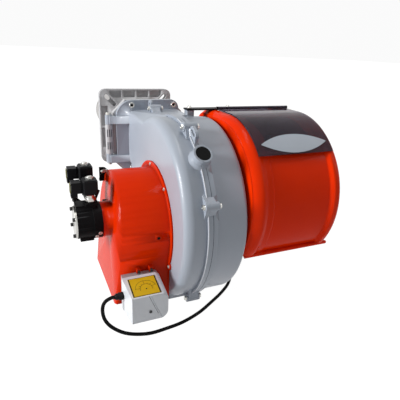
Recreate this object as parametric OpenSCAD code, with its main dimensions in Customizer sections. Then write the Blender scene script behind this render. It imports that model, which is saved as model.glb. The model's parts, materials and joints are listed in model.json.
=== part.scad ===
// Light-oil burner for a boiler: a flange and blast tube, and a cast fan housing that swings open
// beside them. The housing carries the air intake, the oil pump and its valves on the left, and the
// motor and electrical panel under a round hood on the right.
// Lengths are millimetres. X runs to the right along the fan shaft, Y towards the boiler, Z up.
// The origin is the centre of the boiler flange's face. Modules use the fan housing's own frame,
// whose zero is the centre of the housing's round seam, and placed() moves them to the origin.

/* [Boiler flange] */
// Side of the square flange
flange_side = 260; // [245:1:290]
// Thickness of the flange
flange_thick = 20; // [16:1:28]
// Radius of the flange's corners
flange_corner = 22; // [12:1:30]
// Width of the slots for the boiler's studs
stud_slot_w = 14; // [11:0.5:16]
// Smallest stud circle that the slots take
stud_circle_min = 276; // [250:2:290]
// Largest stud circle that the slots take
stud_circle_max = 300; // [280:1:310]
// Length of the clamp collar in front of the flange
collar_length = 18; // [14:1:26]
// Wall of the clamp collar
collar_wall = 12; // [10:1:16]
// Diameter of the collar's clamp screws
clamp_screw_d = 8; // [6:1:10]

/* [Blast tube] */
// Outside diameter of the sleeve that slides in the flange
tube_d = 160; // [150:1:170]
// How much slimmer the tube is in front of the sleeve
nose_step = 2; // [0:0.5:6]
// Wall of the blast tube
tube_wall = 3; // [2:0.5:5]
// Reach of the blast tube beyond the boiler face
tube_reach = 360; // [300:5:420]
// Length of the sleeve beyond the boiler face
sleeve_reach = 45; // [42:1:80]
// Height of the tube's axis above the fan housing's centre
tube_z = 143; // [140:1:146]
// Distance of the tube's axis to the right of the housing's seam
tube_x = 20; // [16:1:24]
// Distance from the fan housing's centre to the boiler face
boiler_y = 456; // [450:1:500]

/* [Head plate and hinge] */
// Distance from the housing's centre to the joint of its back plate with the head plate
hinge_y = 265; // [262:1:268]
// Thickness of the head plate
head_plate_thick = 20; // [17:1:26]
// Depth of the tube's seat in the head plate
tube_seat = 12; // [8:1:14]
// Distance of the hinge pin from the housing's seam, to the left
hinge_x = 115; // [113:1:118]
// Diameter of the hinge pin
hinge_pin_d = 12; // [10:0.5:14]
// Diameter of the hinge's knuckle and arms
knuckle_d = 22; // [20:1:23]
// Height of the middle knuckle
knuckle_height = 94; // [80:1:110]
// Height of each hinge arm
arm_height = 29; // [20:1:34]

/* [Combustion head] */
// Diameter of the flame disc
disc_d = 126; // [110:1:132]
// Thickness of the flame disc
disc_thick = 2; // [1.5:0.1:3]
// Number of swirl slots in the flame disc
disc_slots = 12; // [8:1:16]
// Distance of the flame disc back from the tube's mouth
disc_setback = 46; // [40:1:60]
// Diameter of the oil lance
lance_d = 12; // [10:0.5:16]
// Distance between the two nozzles
nozzle_pitch = 30; // [28:1:34]
// Diameter of the electrodes' ceramic
ceramic_d = 9; // [7:0.5:10]

/* [Fan housing] */
// Radius of the round seam rim
seam_r = 253; // [250:1:255]
// Radius of the right-hand drum
drum_r = 246; // [242:1:248]
// Depth of the right half, from the seam
right_depth = 109; // [100:1:114]
// Depth of the left half, from the seam
left_depth = 55; // [50:1:60]
// Radius of the flat left face
left_face_r = 231; // [222:1:236]
// Wall of the cast housing
housing_wall = 5; // [4:0.5:7]
// Width of the seam rim
seam_rim_w = 26; // [22:1:30]
// Thickness of the housing's back plate
back_plate_thick = 15; // [12:1:18]
// Diameter of the outlet through the back plate
outlet_d = 138; // [120:2:142]
// Distance of the fan shaft in front of the housing's centre
fan_setback = 8; // [4:1:14]
// Depth of the fan shaft below the housing's centre
fan_drop = 12; // [10:1:20]
// Outside diameter of the sight port
port_d = 47; // [44:1:54]
// Diameter of the sight port's plug
port_plug_d = 37; // [30:1:40]

/* [Fan and motor] */
// Diameter of the fan wheel
wheel_d = 320; // [290:1:340]
// Number of blades on the fan wheel
blade_count = 36; // [24:1:42]
// Width of the fan wheel's blades
blade_width = 88; // [70:1:92]
// Diameter of the eye in the housing's left face
eye_d = 210; // [180:1:220]
// Diameter of the motor's case
motor_d = 184; // [170:1:190]
// Length of the motor's case
motor_length = 160; // [150:1:165]
// Number of cooling fins on the motor
motor_fins = 32; // [20:1:40]
// Diameter of the motor shaft
shaft_d = 24; // [20:1:28]
// Diameter of the motor's rotor
rotor_d = 110; // [90:1:116]

/* [Air intake] */
// Radius of the intake box's round top
intake_r = 142; // [138:1:145]
// Radius of the intake box's flange
intake_rim_r = 159; // [156:1:162]
// Depth of the intake box below the housing's centre
intake_drop = 204; // [202:1:208]
// Distance of the end face from the seam at the shaft's height
intake_end = 177; // [174:1:184]
// Lean of the end face, outwards towards the bottom, in degrees
intake_lean = 5.4; // [4:0.1:6.5]
// Wall of the intake box
intake_wall = 3; // [2:0.5:4]
// Bore of the collar that carries the pump
pump_hole_d = 80; // [74:0.5:84]
// Height of the damper's spindle below the housing's centre
damper_drop = 142; // [138:1:146]
// Width of the damper flap
damper_w = 94; // [80:1:96]
// Diameter of the damper's spindle
spindle_d = 10; // [8:0.5:12]

/* [Damper motor] */
// Height of the damper motor's case at its front
servo_height = 69; // [64:1:74]
// Depth of the damper motor's case
servo_depth = 70; // [60:1:76]
// Thickness of the damper motor's base
servo_base_thick = 18; // [14:1:20]
// Fall of the case's top towards its front
servo_slope = 17; // [10:1:20]
// Diameter of the cable gland's nut
gland_d = 19; // [16:1:22]

/* [Oil pump and valves] */
// Diameter of the pump's body
pump_d = 88; // [84:1:92]
// Diameter of the pump's flange
pump_flange_d = 96; // [94:0.5:96.5]
// Length of the pump's body
pump_length = 40; // [36:1:44]
// Length of the pump's flange
pump_flange_length = 22; // [20:1:24]
// Diameter of the oil ports' wall
oil_port_d = 11.5; // [10:0.1:13]
// Depth of the oil ports
oil_port_depth = 12; // [9:0.5:14]
// Side of the valves' coils
coil_side = 36; // [32:1:38]
// Height of the valves' coils
coil_height = 38; // [34:1:42]

/* [Hood] */
// Radius of the hood's round front, at its raised rims
hood_r = 215; // [212:1:218]
// Length of the hood along the shaft
hood_length = 268; // [260:1:280]
// Width of the hood's raised rims
hood_rim_w = 48; // [42:1:52]
// Height of the raised rims above the middle
hood_rim_rise = 7; // [4:0.5:9]
// Wall of the hood
hood_wall = 3; // [2:0.5:4]
// Thickness of the smoked window
window_thick = 3; // [2:0.5:4]
// Length of the smoked window along the shaft
window_length = 226; // [210:1:236]

/* [Hidden] */

// Clearances: a turning fit, a hand-loose fit and a small gap between neighbours
running_gap = 0.05;
loose_gap = 0.5;
soft_gap = 0.3;

cast_dark = [0.50, 0.52, 0.54];
cast_blue = [0.59, 0.61, 0.65];
orange = [0.86, 0.20, 0.04];
steel = [0.72, 0.73, 0.75];
black = [0.07, 0.07, 0.08];
brass = [0.75, 0.62, 0.30];
pale_grey = [0.80, 0.81, 0.83];

fan_y = -fan_setback;
fan_z = -fan_drop;
flange_front = boiler_y - flange_thick;
nose_d = tube_d - nose_step;
head_back = hinge_y + head_plate_thick;
tube_start = head_back - tube_seat;
tube_mouth = boiler_y + tube_reach;
disc_y = tube_mouth - disc_setback;

// Frame helpers

// Moves the fan housing's frame to the part's origin
module placed() translate([-tube_x, -boiler_y, -tube_z]) children();

// Moves a child to the blast tube's axis
module at_tube() translate([tube_x, 0, tube_z]) children();

// Moves a child to the fan shaft's axis
module at_shaft() translate([0, fan_y, fan_z]) children();

// Round bars along each axis, by where they start and end
module rod_x(d, from, to) translate([from, 0, 0]) rotate([0, 90, 0]) cylinder(d = d, h = to - from);
module rod_y(d, from, to) translate([0, from, 0]) rotate([-90, 0, 0]) cylinder(d = d, h = to - from);
module rod_z(d, from, to) translate([0, 0, from]) cylinder(d = d, h = to - from);

// Extrusions of a flat outline: (Y, Z) along X, (X, Z) along Y
module slab_x(from, to) translate([from, 0, 0]) rotate([90, 0, 90]) linear_extrude(to - from) children();
module slab_y(from, to) translate([0, to, 0]) rotate([90, 0, 0]) linear_extrude(to - from) children();

// Turned form about the X axis, from (radius, x) points
module turned_x(points) rotate([0, 90, 0]) rotate_extrude() polygon(points);

// Box by its low and high corners
module block(low, high) translate(low) cube([high[0] - low[0], high[1] - low[1], high[2] - low[2]]);

// Square plate outline with round corners, centred
module rounded_rect(w, h, r) {
    square([w - 2 * r, h], center = true);
    square([w, h - 2 * r], center = true);
    for (sx = [-1, 1], sy = [-1, 1]) translate([sx * (w / 2 - r), sy * (h / 2 - r)]) circle(r);
}

// Points of an arc about (cx, cy), from one angle to another
function arc(cx, cy, r, a0, a1, steps = 12) =
    [for (i = [0:steps]) let (a = a0 + (a1 - a0) * i / steps) [cx + r * cos(a), cy + r * sin(a)]];

$fn = 48;

// Boiler flange

module boiler_flange() color(cast_dark) placed() difference() {
    union() {
        at_tube() slab_y(flange_front, boiler_y) rounded_rect(flange_side, flange_side, flange_corner);
        at_tube() rod_y(tube_d + 2 * collar_wall, flange_front - collar_length, flange_front + 1);
        at_tube() clamp_places() rod_z(2.4 * clamp_screw_d, tube_d / 2 + collar_wall / 2,
            tube_d / 2 + collar_wall + 4);
        slot_borders(flange_front - 1.5, flange_front + 1);
    }
    at_tube() rod_y(tube_d + 2 * running_gap, flange_front - collar_length - 1, boiler_y + 1);
    stud_slots();
    flange_pockets();
    at_tube() clamp_places() rod_z(clamp_screw_d, tube_d / 2 - 1, tube_d / 2 + collar_wall + 5);
}

// Three radial places round the clamp collar
module clamp_places() for (a = [30, 150, 270])
    rotate([0, a, 0]) translate([0, flange_front - collar_length / 2, 0]) children();

// Each corner has a sunk slot with a raised border, and the stud's hole runs through its outer part
slot_sunk = 11;
slot_border = 5;
slot_inner = 112;
module corner_slot(from, to, w, y0, y1) at_tube() for (a = [45:90:315]) rotate([0, a, 0]) slab_y(y0, y1) {
    for (r = [from, to]) translate([r, 0]) circle(w / 2);
    translate([from, -w / 2]) square([to - from, w]);
}
module stud_slots() {
    corner_slot(stud_circle_min / 2, stud_circle_max / 2, stud_slot_w, flange_front - 2, boiler_y + 1);
    corner_slot(slot_inner, stud_circle_max / 2, stud_slot_w, flange_front - 2, flange_front + slot_sunk);
}
module slot_borders(y0, y1)
    corner_slot(slot_inner, stud_circle_max / 2, stud_slot_w + 2 * slot_border, y0, y1);

// Cast pockets round the flange's front: four along the top and bottom, two along each side
pocket_rim = 5;
pocket_depth = 12;
pocket_height = 23;
module flange_pockets() difference() {
    at_tube() {
        for (side = [0, 180], i = [-1.5:1:1.5]) rotate([0, side, 0])
            block([i * 49 - 21.5, flange_front - 1, flange_side / 2 - pocket_rim - pocket_height],
                [i * 49 + 21.5, flange_front + pocket_depth, flange_side / 2 - pocket_rim]);
        for (side = [90, 270], i = [-0.5, 0.5]) rotate([0, side, 0])
            block([i * 78 - 35, flange_front - 1, flange_side / 2 - pocket_rim - pocket_height],
                [i * 78 + 35, flange_front + pocket_depth, flange_side / 2 - pocket_rim]);
    }
    slot_borders(flange_front - 2, boiler_y);
}

module clamp_screws() color(steel) placed() at_tube() clamp_places() {
    rod_z(clamp_screw_d, tube_d / 2 + soft_gap, tube_d / 2 + collar_wall + 4);
    translate([0, 0, tube_d / 2 + collar_wall + 4]) cylinder(d = 1.9 * clamp_screw_d, h = 6, $fn = 6);
}

// Blast tube and head plate

module blast_tube() color(steel) placed() at_tube() difference() {
    union() {
        rod_y(tube_d, tube_start, boiler_y + sleeve_reach);
        rod_y(nose_d, boiler_y + sleeve_reach, tube_mouth);
    }
    rod_y(nose_d - 2 * tube_wall, tube_start - 1, tube_mouth + 1);
}

// Outline of the head plate, with its corners cut
head_plate_left = -100;
head_plate_right = 128;
head_plate_low = 24;
head_plate_high = 259;
head_plate_cut = 38;
hinge_z = tube_z - 5;
module cut_plate(x0, x1, z0, z1, cut) polygon([[x0 + cut, z0], [x1 - cut, z0], [x1, z0 + cut],
    [x1, z1 - cut], [x1 - cut, z1], [x0 + cut, z1], [x0, z1 - cut], [x0, z0 + cut]]);

module head_plate() color(cast_dark) placed() difference() {
    union() {
        slab_y(hinge_y, head_back)
            cut_plate(head_plate_left, head_plate_right, head_plate_low, head_plate_high, head_plate_cut);
        translate([-hinge_x, hinge_y, hinge_z]) rod_z(knuckle_d, -knuckle_height / 2, knuckle_height / 2);
        block([-hinge_x, hinge_y + 1, hinge_z - knuckle_height / 2],
            [head_plate_left + 1, head_back, hinge_z + knuckle_height / 2]);
        at_tube() rod_y(tube_d + 20, head_back - 1, head_back + 10);
    }
    at_tube() rod_y(nose_d - 2 * tube_wall, hinge_y - 1, tube_start + 1);
    at_tube() rod_y(tube_d, tube_start, head_back + 11);
    translate([-hinge_x, hinge_y, hinge_z])
        rod_z(hinge_pin_d, -knuckle_height / 2 - 1, knuckle_height / 2 + 1);
    // Two groups of grooves in the front of the knuckle
    for (z = [-20, 20], a = [-34, 0, 34]) translate([-hinge_x, hinge_y, hinge_z + z]) rotate([0, 0, a])
        block([-1.7, -knuckle_d / 2 - 1, -12], [1.7, -knuckle_d / 2 + 3, 12]);
    back_plate_places() rod_y(back_screw_d * 0.85, hinge_y - 1, head_back + 1);
}

module hinge_pin() color(steel) placed() translate([-hinge_x, hinge_y, hinge_z]) {
    reach = knuckle_height / 2 + arm_height + loose_gap;
    rod_z(hinge_pin_d, -reach - 6, reach + soft_gap);
    rod_z(hinge_pin_d * 1.5, reach + soft_gap, reach + 6);
}

// Nozzle line, which slides in the blast tube to set the flame

lance_y = head_back + 15;
nozzle_y = disc_y - 26;

module oil_lance() color(steel) placed() at_tube() {
    for (s = [-1, 1]) translate([s * nozzle_pitch / 2, 0, 0]) rod_y(lance_d, lance_y, nozzle_y - 20);
    slab_y(nozzle_y - 20, nozzle_y) rounded_rect(nozzle_pitch + 26, 26, 6);
    slab_y(lance_y - 8, lance_y) rounded_rect(nozzle_pitch + 24, 24, 6);
}

module nozzles() color(brass) placed() at_tube() for (s = [-1, 1])
    translate([s * nozzle_pitch / 2, nozzle_y, 0]) rotate([-90, 0, 0]) {
        cylinder(d = 17, h = 9, $fn = 6);
        translate([0, 0, 9]) cylinder(d1 = 14, d2 = 9, h = 7);
    }

electrode_z = 26;
module electrodes() color([0.93, 0.92, 0.88]) placed() at_tube() for (s = [-1, 1])
    translate([s * 12, 0, electrode_z]) {
        rod_y(ceramic_d, nozzle_y - 60, nozzle_y + 4);
        rod_y(2.4, nozzle_y + 4, nozzle_y + 20);
        rod_y(5, nozzle_y - 74, nozzle_y - 60);
    }

module electrode_clamp() color(steel) placed() at_tube() difference() {
    slab_y(nozzle_y - 16, nozzle_y - 6) translate([0, electrode_z - 2]) rounded_rect(48, 24, 5);
    for (s = [-1, 1]) translate([s * 12, 0, electrode_z]) rod_y(ceramic_d, nozzle_y - 17, nozzle_y - 5);
    slab_y(nozzle_y - 17, nozzle_y - 5) square([60, 26], center = true);
}

// Three-legged support that centres the lance in the tube
module lance_spider() color(steel) placed() at_tube() difference() {
    union() {
        spider_y = nozzle_y - 120;
        slab_y(spider_y, spider_y + 14) rounded_rect(nozzle_pitch + 30, 30, 10);
        for (a = [90, 210, 330]) rotate([0, a, 0])
            block([10, spider_y + 3, -4], [nose_d / 2 - tube_wall - soft_gap, spider_y + 11, 4]);
    }
    for (s = [-1, 1]) translate([s * nozzle_pitch / 2, 0, 0]) rod_y(lance_d, lance_y, nozzle_y);
}

module flame_disc() color([0.45, 0.43, 0.42]) placed() at_tube() difference() {
    union() {
        rod_y(disc_d, disc_y, disc_y + disc_thick);
        difference() {
            rod_y(disc_d, disc_y, disc_y + 9);
            rod_y(disc_d - 2 * disc_thick, disc_y - 1, disc_y + 10);
        }
        for (s = [-1, 1]) translate([s * (nozzle_pitch / 2 + 20), 0, 0]) {
            rod_y(5, nozzle_y - 10, disc_y + 1);
            block([-3 - s * 4, nozzle_y - 12, -3], [3 - s * 4, nozzle_y - 6, 3]);
        }
    }
    rod_y(56, disc_y - 1, disc_y + disc_thick + 1);
    for (i = [0:disc_slots - 1]) rotate([0, (i + 0.5) * 360 / disc_slots, 0]) translate([46, 0, 0])
        rotate([0, 24, 0]) block([-11, disc_y - 1, -1.2], [11, disc_y + disc_thick + 1, 1.2]);
}

// Fan housing

back_plate_front = hinge_y - back_plate_thick;
back_screw_d = 12;

module back_plate_places() for (x = [-45, 93], z = [42, 245]) translate([x, 0, z]) children();

// Neck from the round housing to the back plate. Its top falls a little towards the back
neck_low = 66;
neck_front = 40;
module neck_section(y, left, right, edge_z, seam_z, inset) slab_y(y, y + 0.1) polygon(concat(
    [[right - inset, -72], [left + inset, -72]],
    arc(left + inset + 9, edge_z - inset - 9, 9, 180, 100, 4),
    [[0, seam_z - inset], [right - inset, seam_z - inset]]));

module neck(inset) intersection() {
    hull() {
        neck_section(neck_front, -left_depth, 62, 221, 246, inset);
        neck_section(hinge_y - 1, -left_depth, 107, 226, 229, inset);
    }
    slab_x(-120, 150) polygon([[0, 300], [hinge_y - 0.9, 300], [hinge_y - 0.9, neck_low + inset],
        [170, neck_low + inset], [100, 0], [0, -60]]);
}

// Turned form of the round housing: a soft fold leads from the drum to the flat left face
face_fold = 24;
module round_housing(inset) turned_x(concat(
    [[0, -left_depth + inset], [left_face_r, -left_depth + inset]],
    [for (i = [1:8]) let (a = i * 90 / 8) [left_face_r + (drum_r + 3 - left_face_r - inset) * sin(a),
        -left_depth + inset + (face_fold - inset) * (1 - cos(a))]],
    [[drum_r - inset, 0.1], [drum_r - inset, right_depth - 10]],
    [for (i = [1:5]) let (a = i * 18) [drum_r - inset - 7 * (1 - cos(a)), right_depth - 10 + (10 - inset) * sin(a)]],
    [[0, right_depth - inset]]));

// Outline of the back plate, with the bulge that carries the hinge arms
module back_plate_outline() polygon(concat([[110, 50], [100, 36], [90, 30], [-55, 30], [-92, 64]],
    arc(-40, 206, 54, 182, 96, 8), arc(84, 234, 27, 84, 0, 6)));

module hinge_arms() for (s = [-1, 1]) {
    low = hinge_z + s * (knuckle_height / 2 + arm_height / 2 + loose_gap) - arm_height / 2;
    translate([-hinge_x, hinge_y, 0]) rod_z(knuckle_d, low, low + arm_height);
    block([-hinge_x, hinge_y - 22, low + 3], [-left_depth + 1, hinge_y - 3, low + arm_height - 3]);
}

// Screw places round the seam, with the way each one faces: distance to the back, height, angle
seam_spots = [[-99, 243, 112.2], [-244.6, 91, 159.6], [-162, -204, 231.5], [60, -254, 283.3], [172, 246, 85],
    [246, -90, -20]];
module seam_places() for (p = seam_spots) translate([0, p[0], p[1]]) rotate([p[2] - 90, 0, 0]) children();

seam_screw_d = 8;
lug_d = 22;
lug_left = 11;
lug_right = 24;

// Lug of the seam: a round boss on a foot that spreads into the rim
module seam_lug_outline() {
    circle(d = lug_d);
    polygon([[-9.5, 4], [9.5, 4], [29, -17], [-29, -17]]);
}
module seam_lugs() seam_places() {
    rod_x(lug_d, -lug_left, lug_right);
    slab_x(-8, seam_rim_w - 8) seam_lug_outline();
}

// Lifting ear: a plate with a long hole, from its left side, length along the rim and height
module lifting_ear(left, length, height) difference() {
    slab_x(left, left + 8) {
        translate([0, height - 12]) rounded_rect(length, 24, 11.5);
        polygon([[-length / 2 - 5, -16], [length / 2 + 5, -16], [length / 2, height - 12], [-length / 2, height - 12]]);
    }
    slab_x(left - 1, left + 9) translate([0, height - 12]) rounded_rect(length - 14, 8, 3.9);
}
module lifting_ears() {
    translate([0, -128, 232]) rotate([28.9, 0, 0]) lifting_ear(3, 38, 14);
    translate([0, 206, 232]) rotate([-5, 0, 0]) difference() {
        slab_x(0, 7) {
            translate([0, 17]) rounded_rect(26, 32, 10);
            polygon([[-20, -8], [20, -8], [13, 14], [-13, 14]]);
        }
        slab_x(-1, 8) translate([0, 18]) rounded_rect(8, 16, 3.9);
    }
}

// Stub of the sight port, which points out from the fan housing and up at the front
port_angle = 46.5;
port_reach = 276;
module at_port() translate([5, 0, 0]) rotate([90 - port_angle, 0, 0]) children();

module housing_shell() difference() {
    union() {
        round_housing(0);
        neck(0);
        slab_y(back_plate_front, hinge_y) back_plate_outline();
        hinge_arms();
        rod_x(2 * seam_r, 0, seam_rim_w);
        seam_lugs();
        at_port() rod_z(port_d, drum_r - 20, port_reach);
        at_port() translate([0, 0, drum_r - 12]) cylinder(d1 = port_d + 16, d2 = port_d + 3, h = 26);
        at_shaft() rod_x(motor_flange_d, right_depth - 1, right_depth + motor_pad);
        // Foot behind the bottom of the intake box's flange
        block([-left_depth, box_front, -intake_drop - 4], [0, 90, -150]);
        // Boss under the left end of the hood's bar
        block([56, bar_front + 3, 228], [76, bar_back - 3, bar_low]);
    }
    slab_x(-left_depth - 12, -left_depth) translate([intake_y, intake_z]) circle(intake_rim_r + 1, $fn = 96);
    round_housing(housing_wall);
    neck(housing_wall);
    at_tube() rod_y(outlet_d, hinge_y - 2, hinge_y + 1);
    at_tube() rod_y(outlet_d - 4, back_plate_front - 4, hinge_y + 1);
    at_shaft() rod_x(eye_d, -left_depth - 1, -left_depth + housing_wall + 1);
    at_shaft() rod_x(motor_spigot_d, right_depth - housing_wall - 1, right_depth + motor_pad + 1);
    at_port() rod_z(port_plug_d, drum_r - 30, port_reach + 1);
    seam_places() rod_x(seam_screw_d, -lug_left - 1, lug_right + 1);
    back_plate_places() rod_y(back_screw_d, back_plate_front - 1, hinge_y + 1);
    translate([-hinge_x, hinge_y, tube_z]) rod_z(hinge_pin_d + 2 * running_gap, -120, 120);
}

module housing_left() color(cast_blue) placed() {
    intersection() {
        housing_shell();
        block([-400, -400, -400], [0, 400, 400]);
    }
    inlet_cone();
}

// Bell that leads the air into the fan wheel's eye
module inlet_cone() at_shaft() turned_x([[eye_d / 2, -left_depth + 0.01], [eye_d / 2 + 14, -left_depth + housing_wall],
    [eye_d / 2 + 14, -left_depth + housing_wall + 0.01], [eye_d / 2 - 1, -left_depth + 16],
    [eye_d / 2 - 5, -left_depth + 16], [eye_d / 2, -left_depth]]);

module housing_right() color(cast_blue) placed() {
    intersection() {
        housing_shell();
        block([0, -400, -400], [400, 400, 400]);
    }
    difference() {
        lifting_ears();
        round_housing(housing_wall);
        neck(housing_wall);
    }
}

module seam_screws() color(steel) placed() seam_places() {
    rod_x(seam_screw_d, -lug_left, lug_right);
    translate([-lug_left - 5, 0, 0]) rotate([0, 90, 0]) cylinder(d = 13, h = 5, $fn = 6);
    translate([lug_right, 0, 0]) rotate([0, 90, 0]) cylinder(d = 15, h = 6.5, $fn = 6);
}

// Captive screws of the back plate, drawn backed out of the head plate so that the housing can swing
module back_plate_screws() color(steel) placed() back_plate_places() {
    rod_y(back_screw_d, back_plate_front, hinge_y - loose_gap);
    difference() {
        rod_y(1.45 * back_screw_d, back_plate_front - 5, back_plate_front);
        translate([0, back_plate_front - 6, 0]) rotate([-90, 0, 0]) cylinder(d = 10, h = 5, $fn = 6);
    }
}

// Rubber plugs: one closes the sight port, one the tap on the intake box
module black_plugs() color(black) placed() {
    at_port() difference() {
        rod_z(port_plug_d, port_reach - 16, port_reach - 1);
        translate([0, -port_plug_d / 2, port_reach - 5]) rotate([90, 0, 0]) translate([0, 0, -5]) cylinder(d = 5, h = 8);
    }
    tap_place() rod_y(tap_hole_d, -tap_rise + 0.5, 4);
    at_grommet() rod_x(grommet_d, -182, -168);
}

// Fan wheel, shaft and motor

motor_flange_d = 200;
motor_pad = 3;
motor_spigot_d = 130;
motor_front = right_depth + motor_pad + 12;
motor_back = motor_front + motor_length;
wheel_left = -34;
wheel_right = wheel_left + blade_width;

// One blade: a thin arc that leans forward, drawn as a closed band of points
blade_thick = 1.6;
blade_inner = 0.8;
function blade_point(t, side) = let (r = wheel_d / 2 * (blade_inner + (1 - blade_inner) * t) - 0.5,
    a = 9 * t * t + side * blade_thick / r * 28.6) [r * cos(a), r * sin(a)];
module blade() polygon(concat([for (i = [0:6]) blade_point(i / 6, -1)], [for (i = [6:-1:0]) blade_point(i / 6, 1)]));

module fan_wheel() color(steel) placed() at_shaft() {
    difference() {
        union() {
            rod_x(wheel_d, wheel_right, wheel_right + 2.5);
            rod_x(60, wheel_right - 30, wheel_right + 8);
        }
        rod_x(shaft_d, wheel_right - 31, wheel_right + 9);
    }
    difference() {
        rod_x(wheel_d, wheel_left, wheel_left + 2);
        rod_x(wheel_d * blade_inner, wheel_left - 1, wheel_left + 3);
    }
    slab_x(wheel_left + 1, wheel_right + 1) for (i = [0:blade_count - 1]) rotate(i * 360 / blade_count) blade();
}

module motor_shaft() color(steel) placed() at_shaft() {
    rod_x(shaft_d, coupling_right, motor_back + 30);
    rod_x(rotor_d, motor_front + 24, motor_back - 24);
    rod_x(34, motor_back + 16, motor_back + 32);
    for (a = [0:45:135]) rotate([a, 0, 0]) block([motor_back + 18, -76, -1.5], [motor_back + 44, 76, 1.5]);
}

// Flexible coupling between the motor shaft and the pump
coupling_left = -150;
coupling_right = -70;
module shaft_coupling() color([0.15, 0.15, 0.16]) placed() at_shaft() {
    rod_x(38, coupling_right - 24, coupling_right);
    rod_x(26, coupling_left + 14, coupling_right - 24);
    rod_x(38, coupling_left, coupling_left + 14);
    rod_x(8, pump_back - 10, coupling_left);
}

module motor_case() color(cast_dark) placed() at_shaft() difference() {
    union() {
        rod_x(motor_d - 18, motor_front, motor_back);
        for (i = [0:motor_fins - 1]) rotate([i * 360 / motor_fins, 0, 0])
            block([motor_front, motor_d / 2 - 12, -1.3], [motor_back, motor_d / 2, 1.3]);
        block([motor_front + 40, -36, 60], [motor_front + 120, 36, motor_d / 2 + 2]);
    }
    rod_x(rotor_d + 1, motor_front - 1, motor_back + 1);
}

bearing_d = 52;
module motor_end_shields() color(cast_dark) placed() at_shaft() difference() {
    union() {
        rod_x(motor_flange_d, right_depth + motor_pad, motor_front);
        rod_x(motor_spigot_d - 2 * running_gap, right_depth - housing_wall, right_depth + motor_pad);
        rod_x(motor_d - 8, motor_back, motor_back + 14);
    }
    rod_x(bearing_d, right_depth - 10, motor_front + 1);
    rod_x(bearing_d, motor_back - 1, motor_back + 15);
}

module motor_bearings() color(steel) placed() at_shaft() for (x = [motor_front - 15, motor_back]) difference() {
    rod_x(bearing_d, x, x + 15 - 1);
    rod_x(shaft_d + 2 * running_gap, x - 1, x + 16);
}

module motor_fan_cowl() color(black) placed() at_shaft() difference() {
    rod_x(motor_d - 6, motor_back + 14, motor_back + 58);
    rod_x(motor_d - 10, motor_back + 13, motor_back + 55);
    for (r = [26:14:82]) difference() {
        rod_x(2 * r + 8, motor_back + 54, motor_back + 59);
        rod_x(2 * r, motor_back + 53, motor_back + 60);
        for (a = [0, 90]) rotate([a, 0, 0]) block([motor_back + 53, -90, -4], [motor_back + 60, 90, 4]);
    }
}

module terminal_box() color(cast_dark) placed() at_shaft() difference() {
    block([motor_front + 40, -36, motor_d / 2 + 2], [motor_front + 120, 36, motor_d / 2 + 14]);
    for (x = [48, 112], y = [-28, 28]) translate([motor_front + x, y, motor_d / 2 + 9]) cylinder(d = 6, h = 8);
}

// Air intake box

intake_plate = 4;
box_front = -146;
box_back = 122;
intake_y = -12;
intake_z = -25;

module intake_outline(inset) {
    translate([intake_y, intake_z]) circle(intake_r - inset, $fn = 96);
    polygon([[box_front + inset, intake_z], [box_front + inset, -intake_drop + 14 + inset / 2],
        [box_front + 26 + inset / 2, -intake_drop + inset], [box_back - inset, -intake_drop + inset],
        [box_back - inset, intake_z]]);
}

// Space on the housing's side of the leaning end face, moved in by inset
module inside_end(inset) translate([-intake_end + inset, 0, -20]) rotate([0, intake_lean, 0])
    block([0, -300, -300], [400, 300, 300]);

module tap_place() translate([-88, box_front - 7.5, -15]) children();
tap_rise = 5;
tap_hole_d = 8;

damper_x = -122;
module at_damper() translate([damper_x, 0, -damper_drop]) children();
bush_d = 18;

module intake_box() color(orange) placed() difference() {
    union() {
        intersection() {
            slab_x(-230, -left_depth) intake_outline(0);
            inside_end(0);
        }
        slab_x(-left_depth - intake_plate, -left_depth) {
            translate([intake_y, intake_z]) circle(intake_rim_r, $fn = 96);
            translate([box_front - 1, -intake_drop]) square([box_back - box_front + 2, intake_drop + intake_z]);
            translate(intake_screw_spots[1]) circle(9.5);
        }
        tap_place() hull() {
            block([-13, 4, -13], [13, 6, 13]);
            block([-7, -tap_rise, -7], [7, -tap_rise + 1, 7]);
        }
        servo_ears();
        at_shaft() rod_x(pump_flange_d - 2, pump_back, -150);
    }
    intersection() {
        slab_x(-230, -left_depth + 1) intake_outline(intake_wall);
        inside_end(intake_wall);
    }
    at_shaft() rod_x(pump_hole_d, -230, -149);
    at_damper() rod_y(bush_d, box_front - 1, box_back + 1);
    tap_place() rod_y(tap_hole_d, -tap_rise - 1, 12);
    intake_screw_places() rod_x(intake_screw_d, -left_depth - intake_plate - 1, -left_depth + 1);
    air_mouth();
    at_grommet() rod_x(grommet_d, -230, -intake_end + 40);
}

// Mouth in the floor of the intake box, where the air comes in
module air_mouth() block([-178, box_front + 22, -intake_drop - 1],
    [-left_depth - 14, box_back - 22, -intake_drop + intake_wall + 1]);

intake_screw_d = 5;
// Screws of the ring flange: distance to the back and height
intake_screw_spots = [[-107.8, 91.7], [-152.5, -103], [6, 125], [103.7, 72], [129.9, -76.6]];
module intake_screw_places() for (p = intake_screw_spots) translate([0, p[0], p[1]]) children();

module intake_screws() color(steel) placed() intake_screw_places() {
    rod_x(intake_screw_d, -left_depth - intake_plate, -left_depth);
    rod_x(9.5, -left_depth - intake_plate - 3, -left_depth - intake_plate);
}

// Three-armed support inside the intake box, which carries the pump from the fan housing
module pump_support() color(cast_blue) placed() at_shaft() difference() {
    union() {
        rod_x(pump_hole_d - 2 * soft_gap, pump_back, pump_back + 8);
        for (a = [90, 210, 330]) rotate([a, 0, 0]) {
            block([pump_back, 24, -6], [-left_depth - soft_gap, 36, 6]);
            block([-left_depth - 14, 24, -8], [-left_depth, eye_d / 2 + 8, 8]);
        }
    }
    rod_x(46, pump_back - 1, pump_back + 9);
}

module damper_flap() color(steel) placed() at_damper() difference() {
    block([-damper_w / 2, box_front + 8, -1], [damper_w / 2, box_back - 8, 1]);
    rod_y(spindle_d, box_front, box_back);
}

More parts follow.
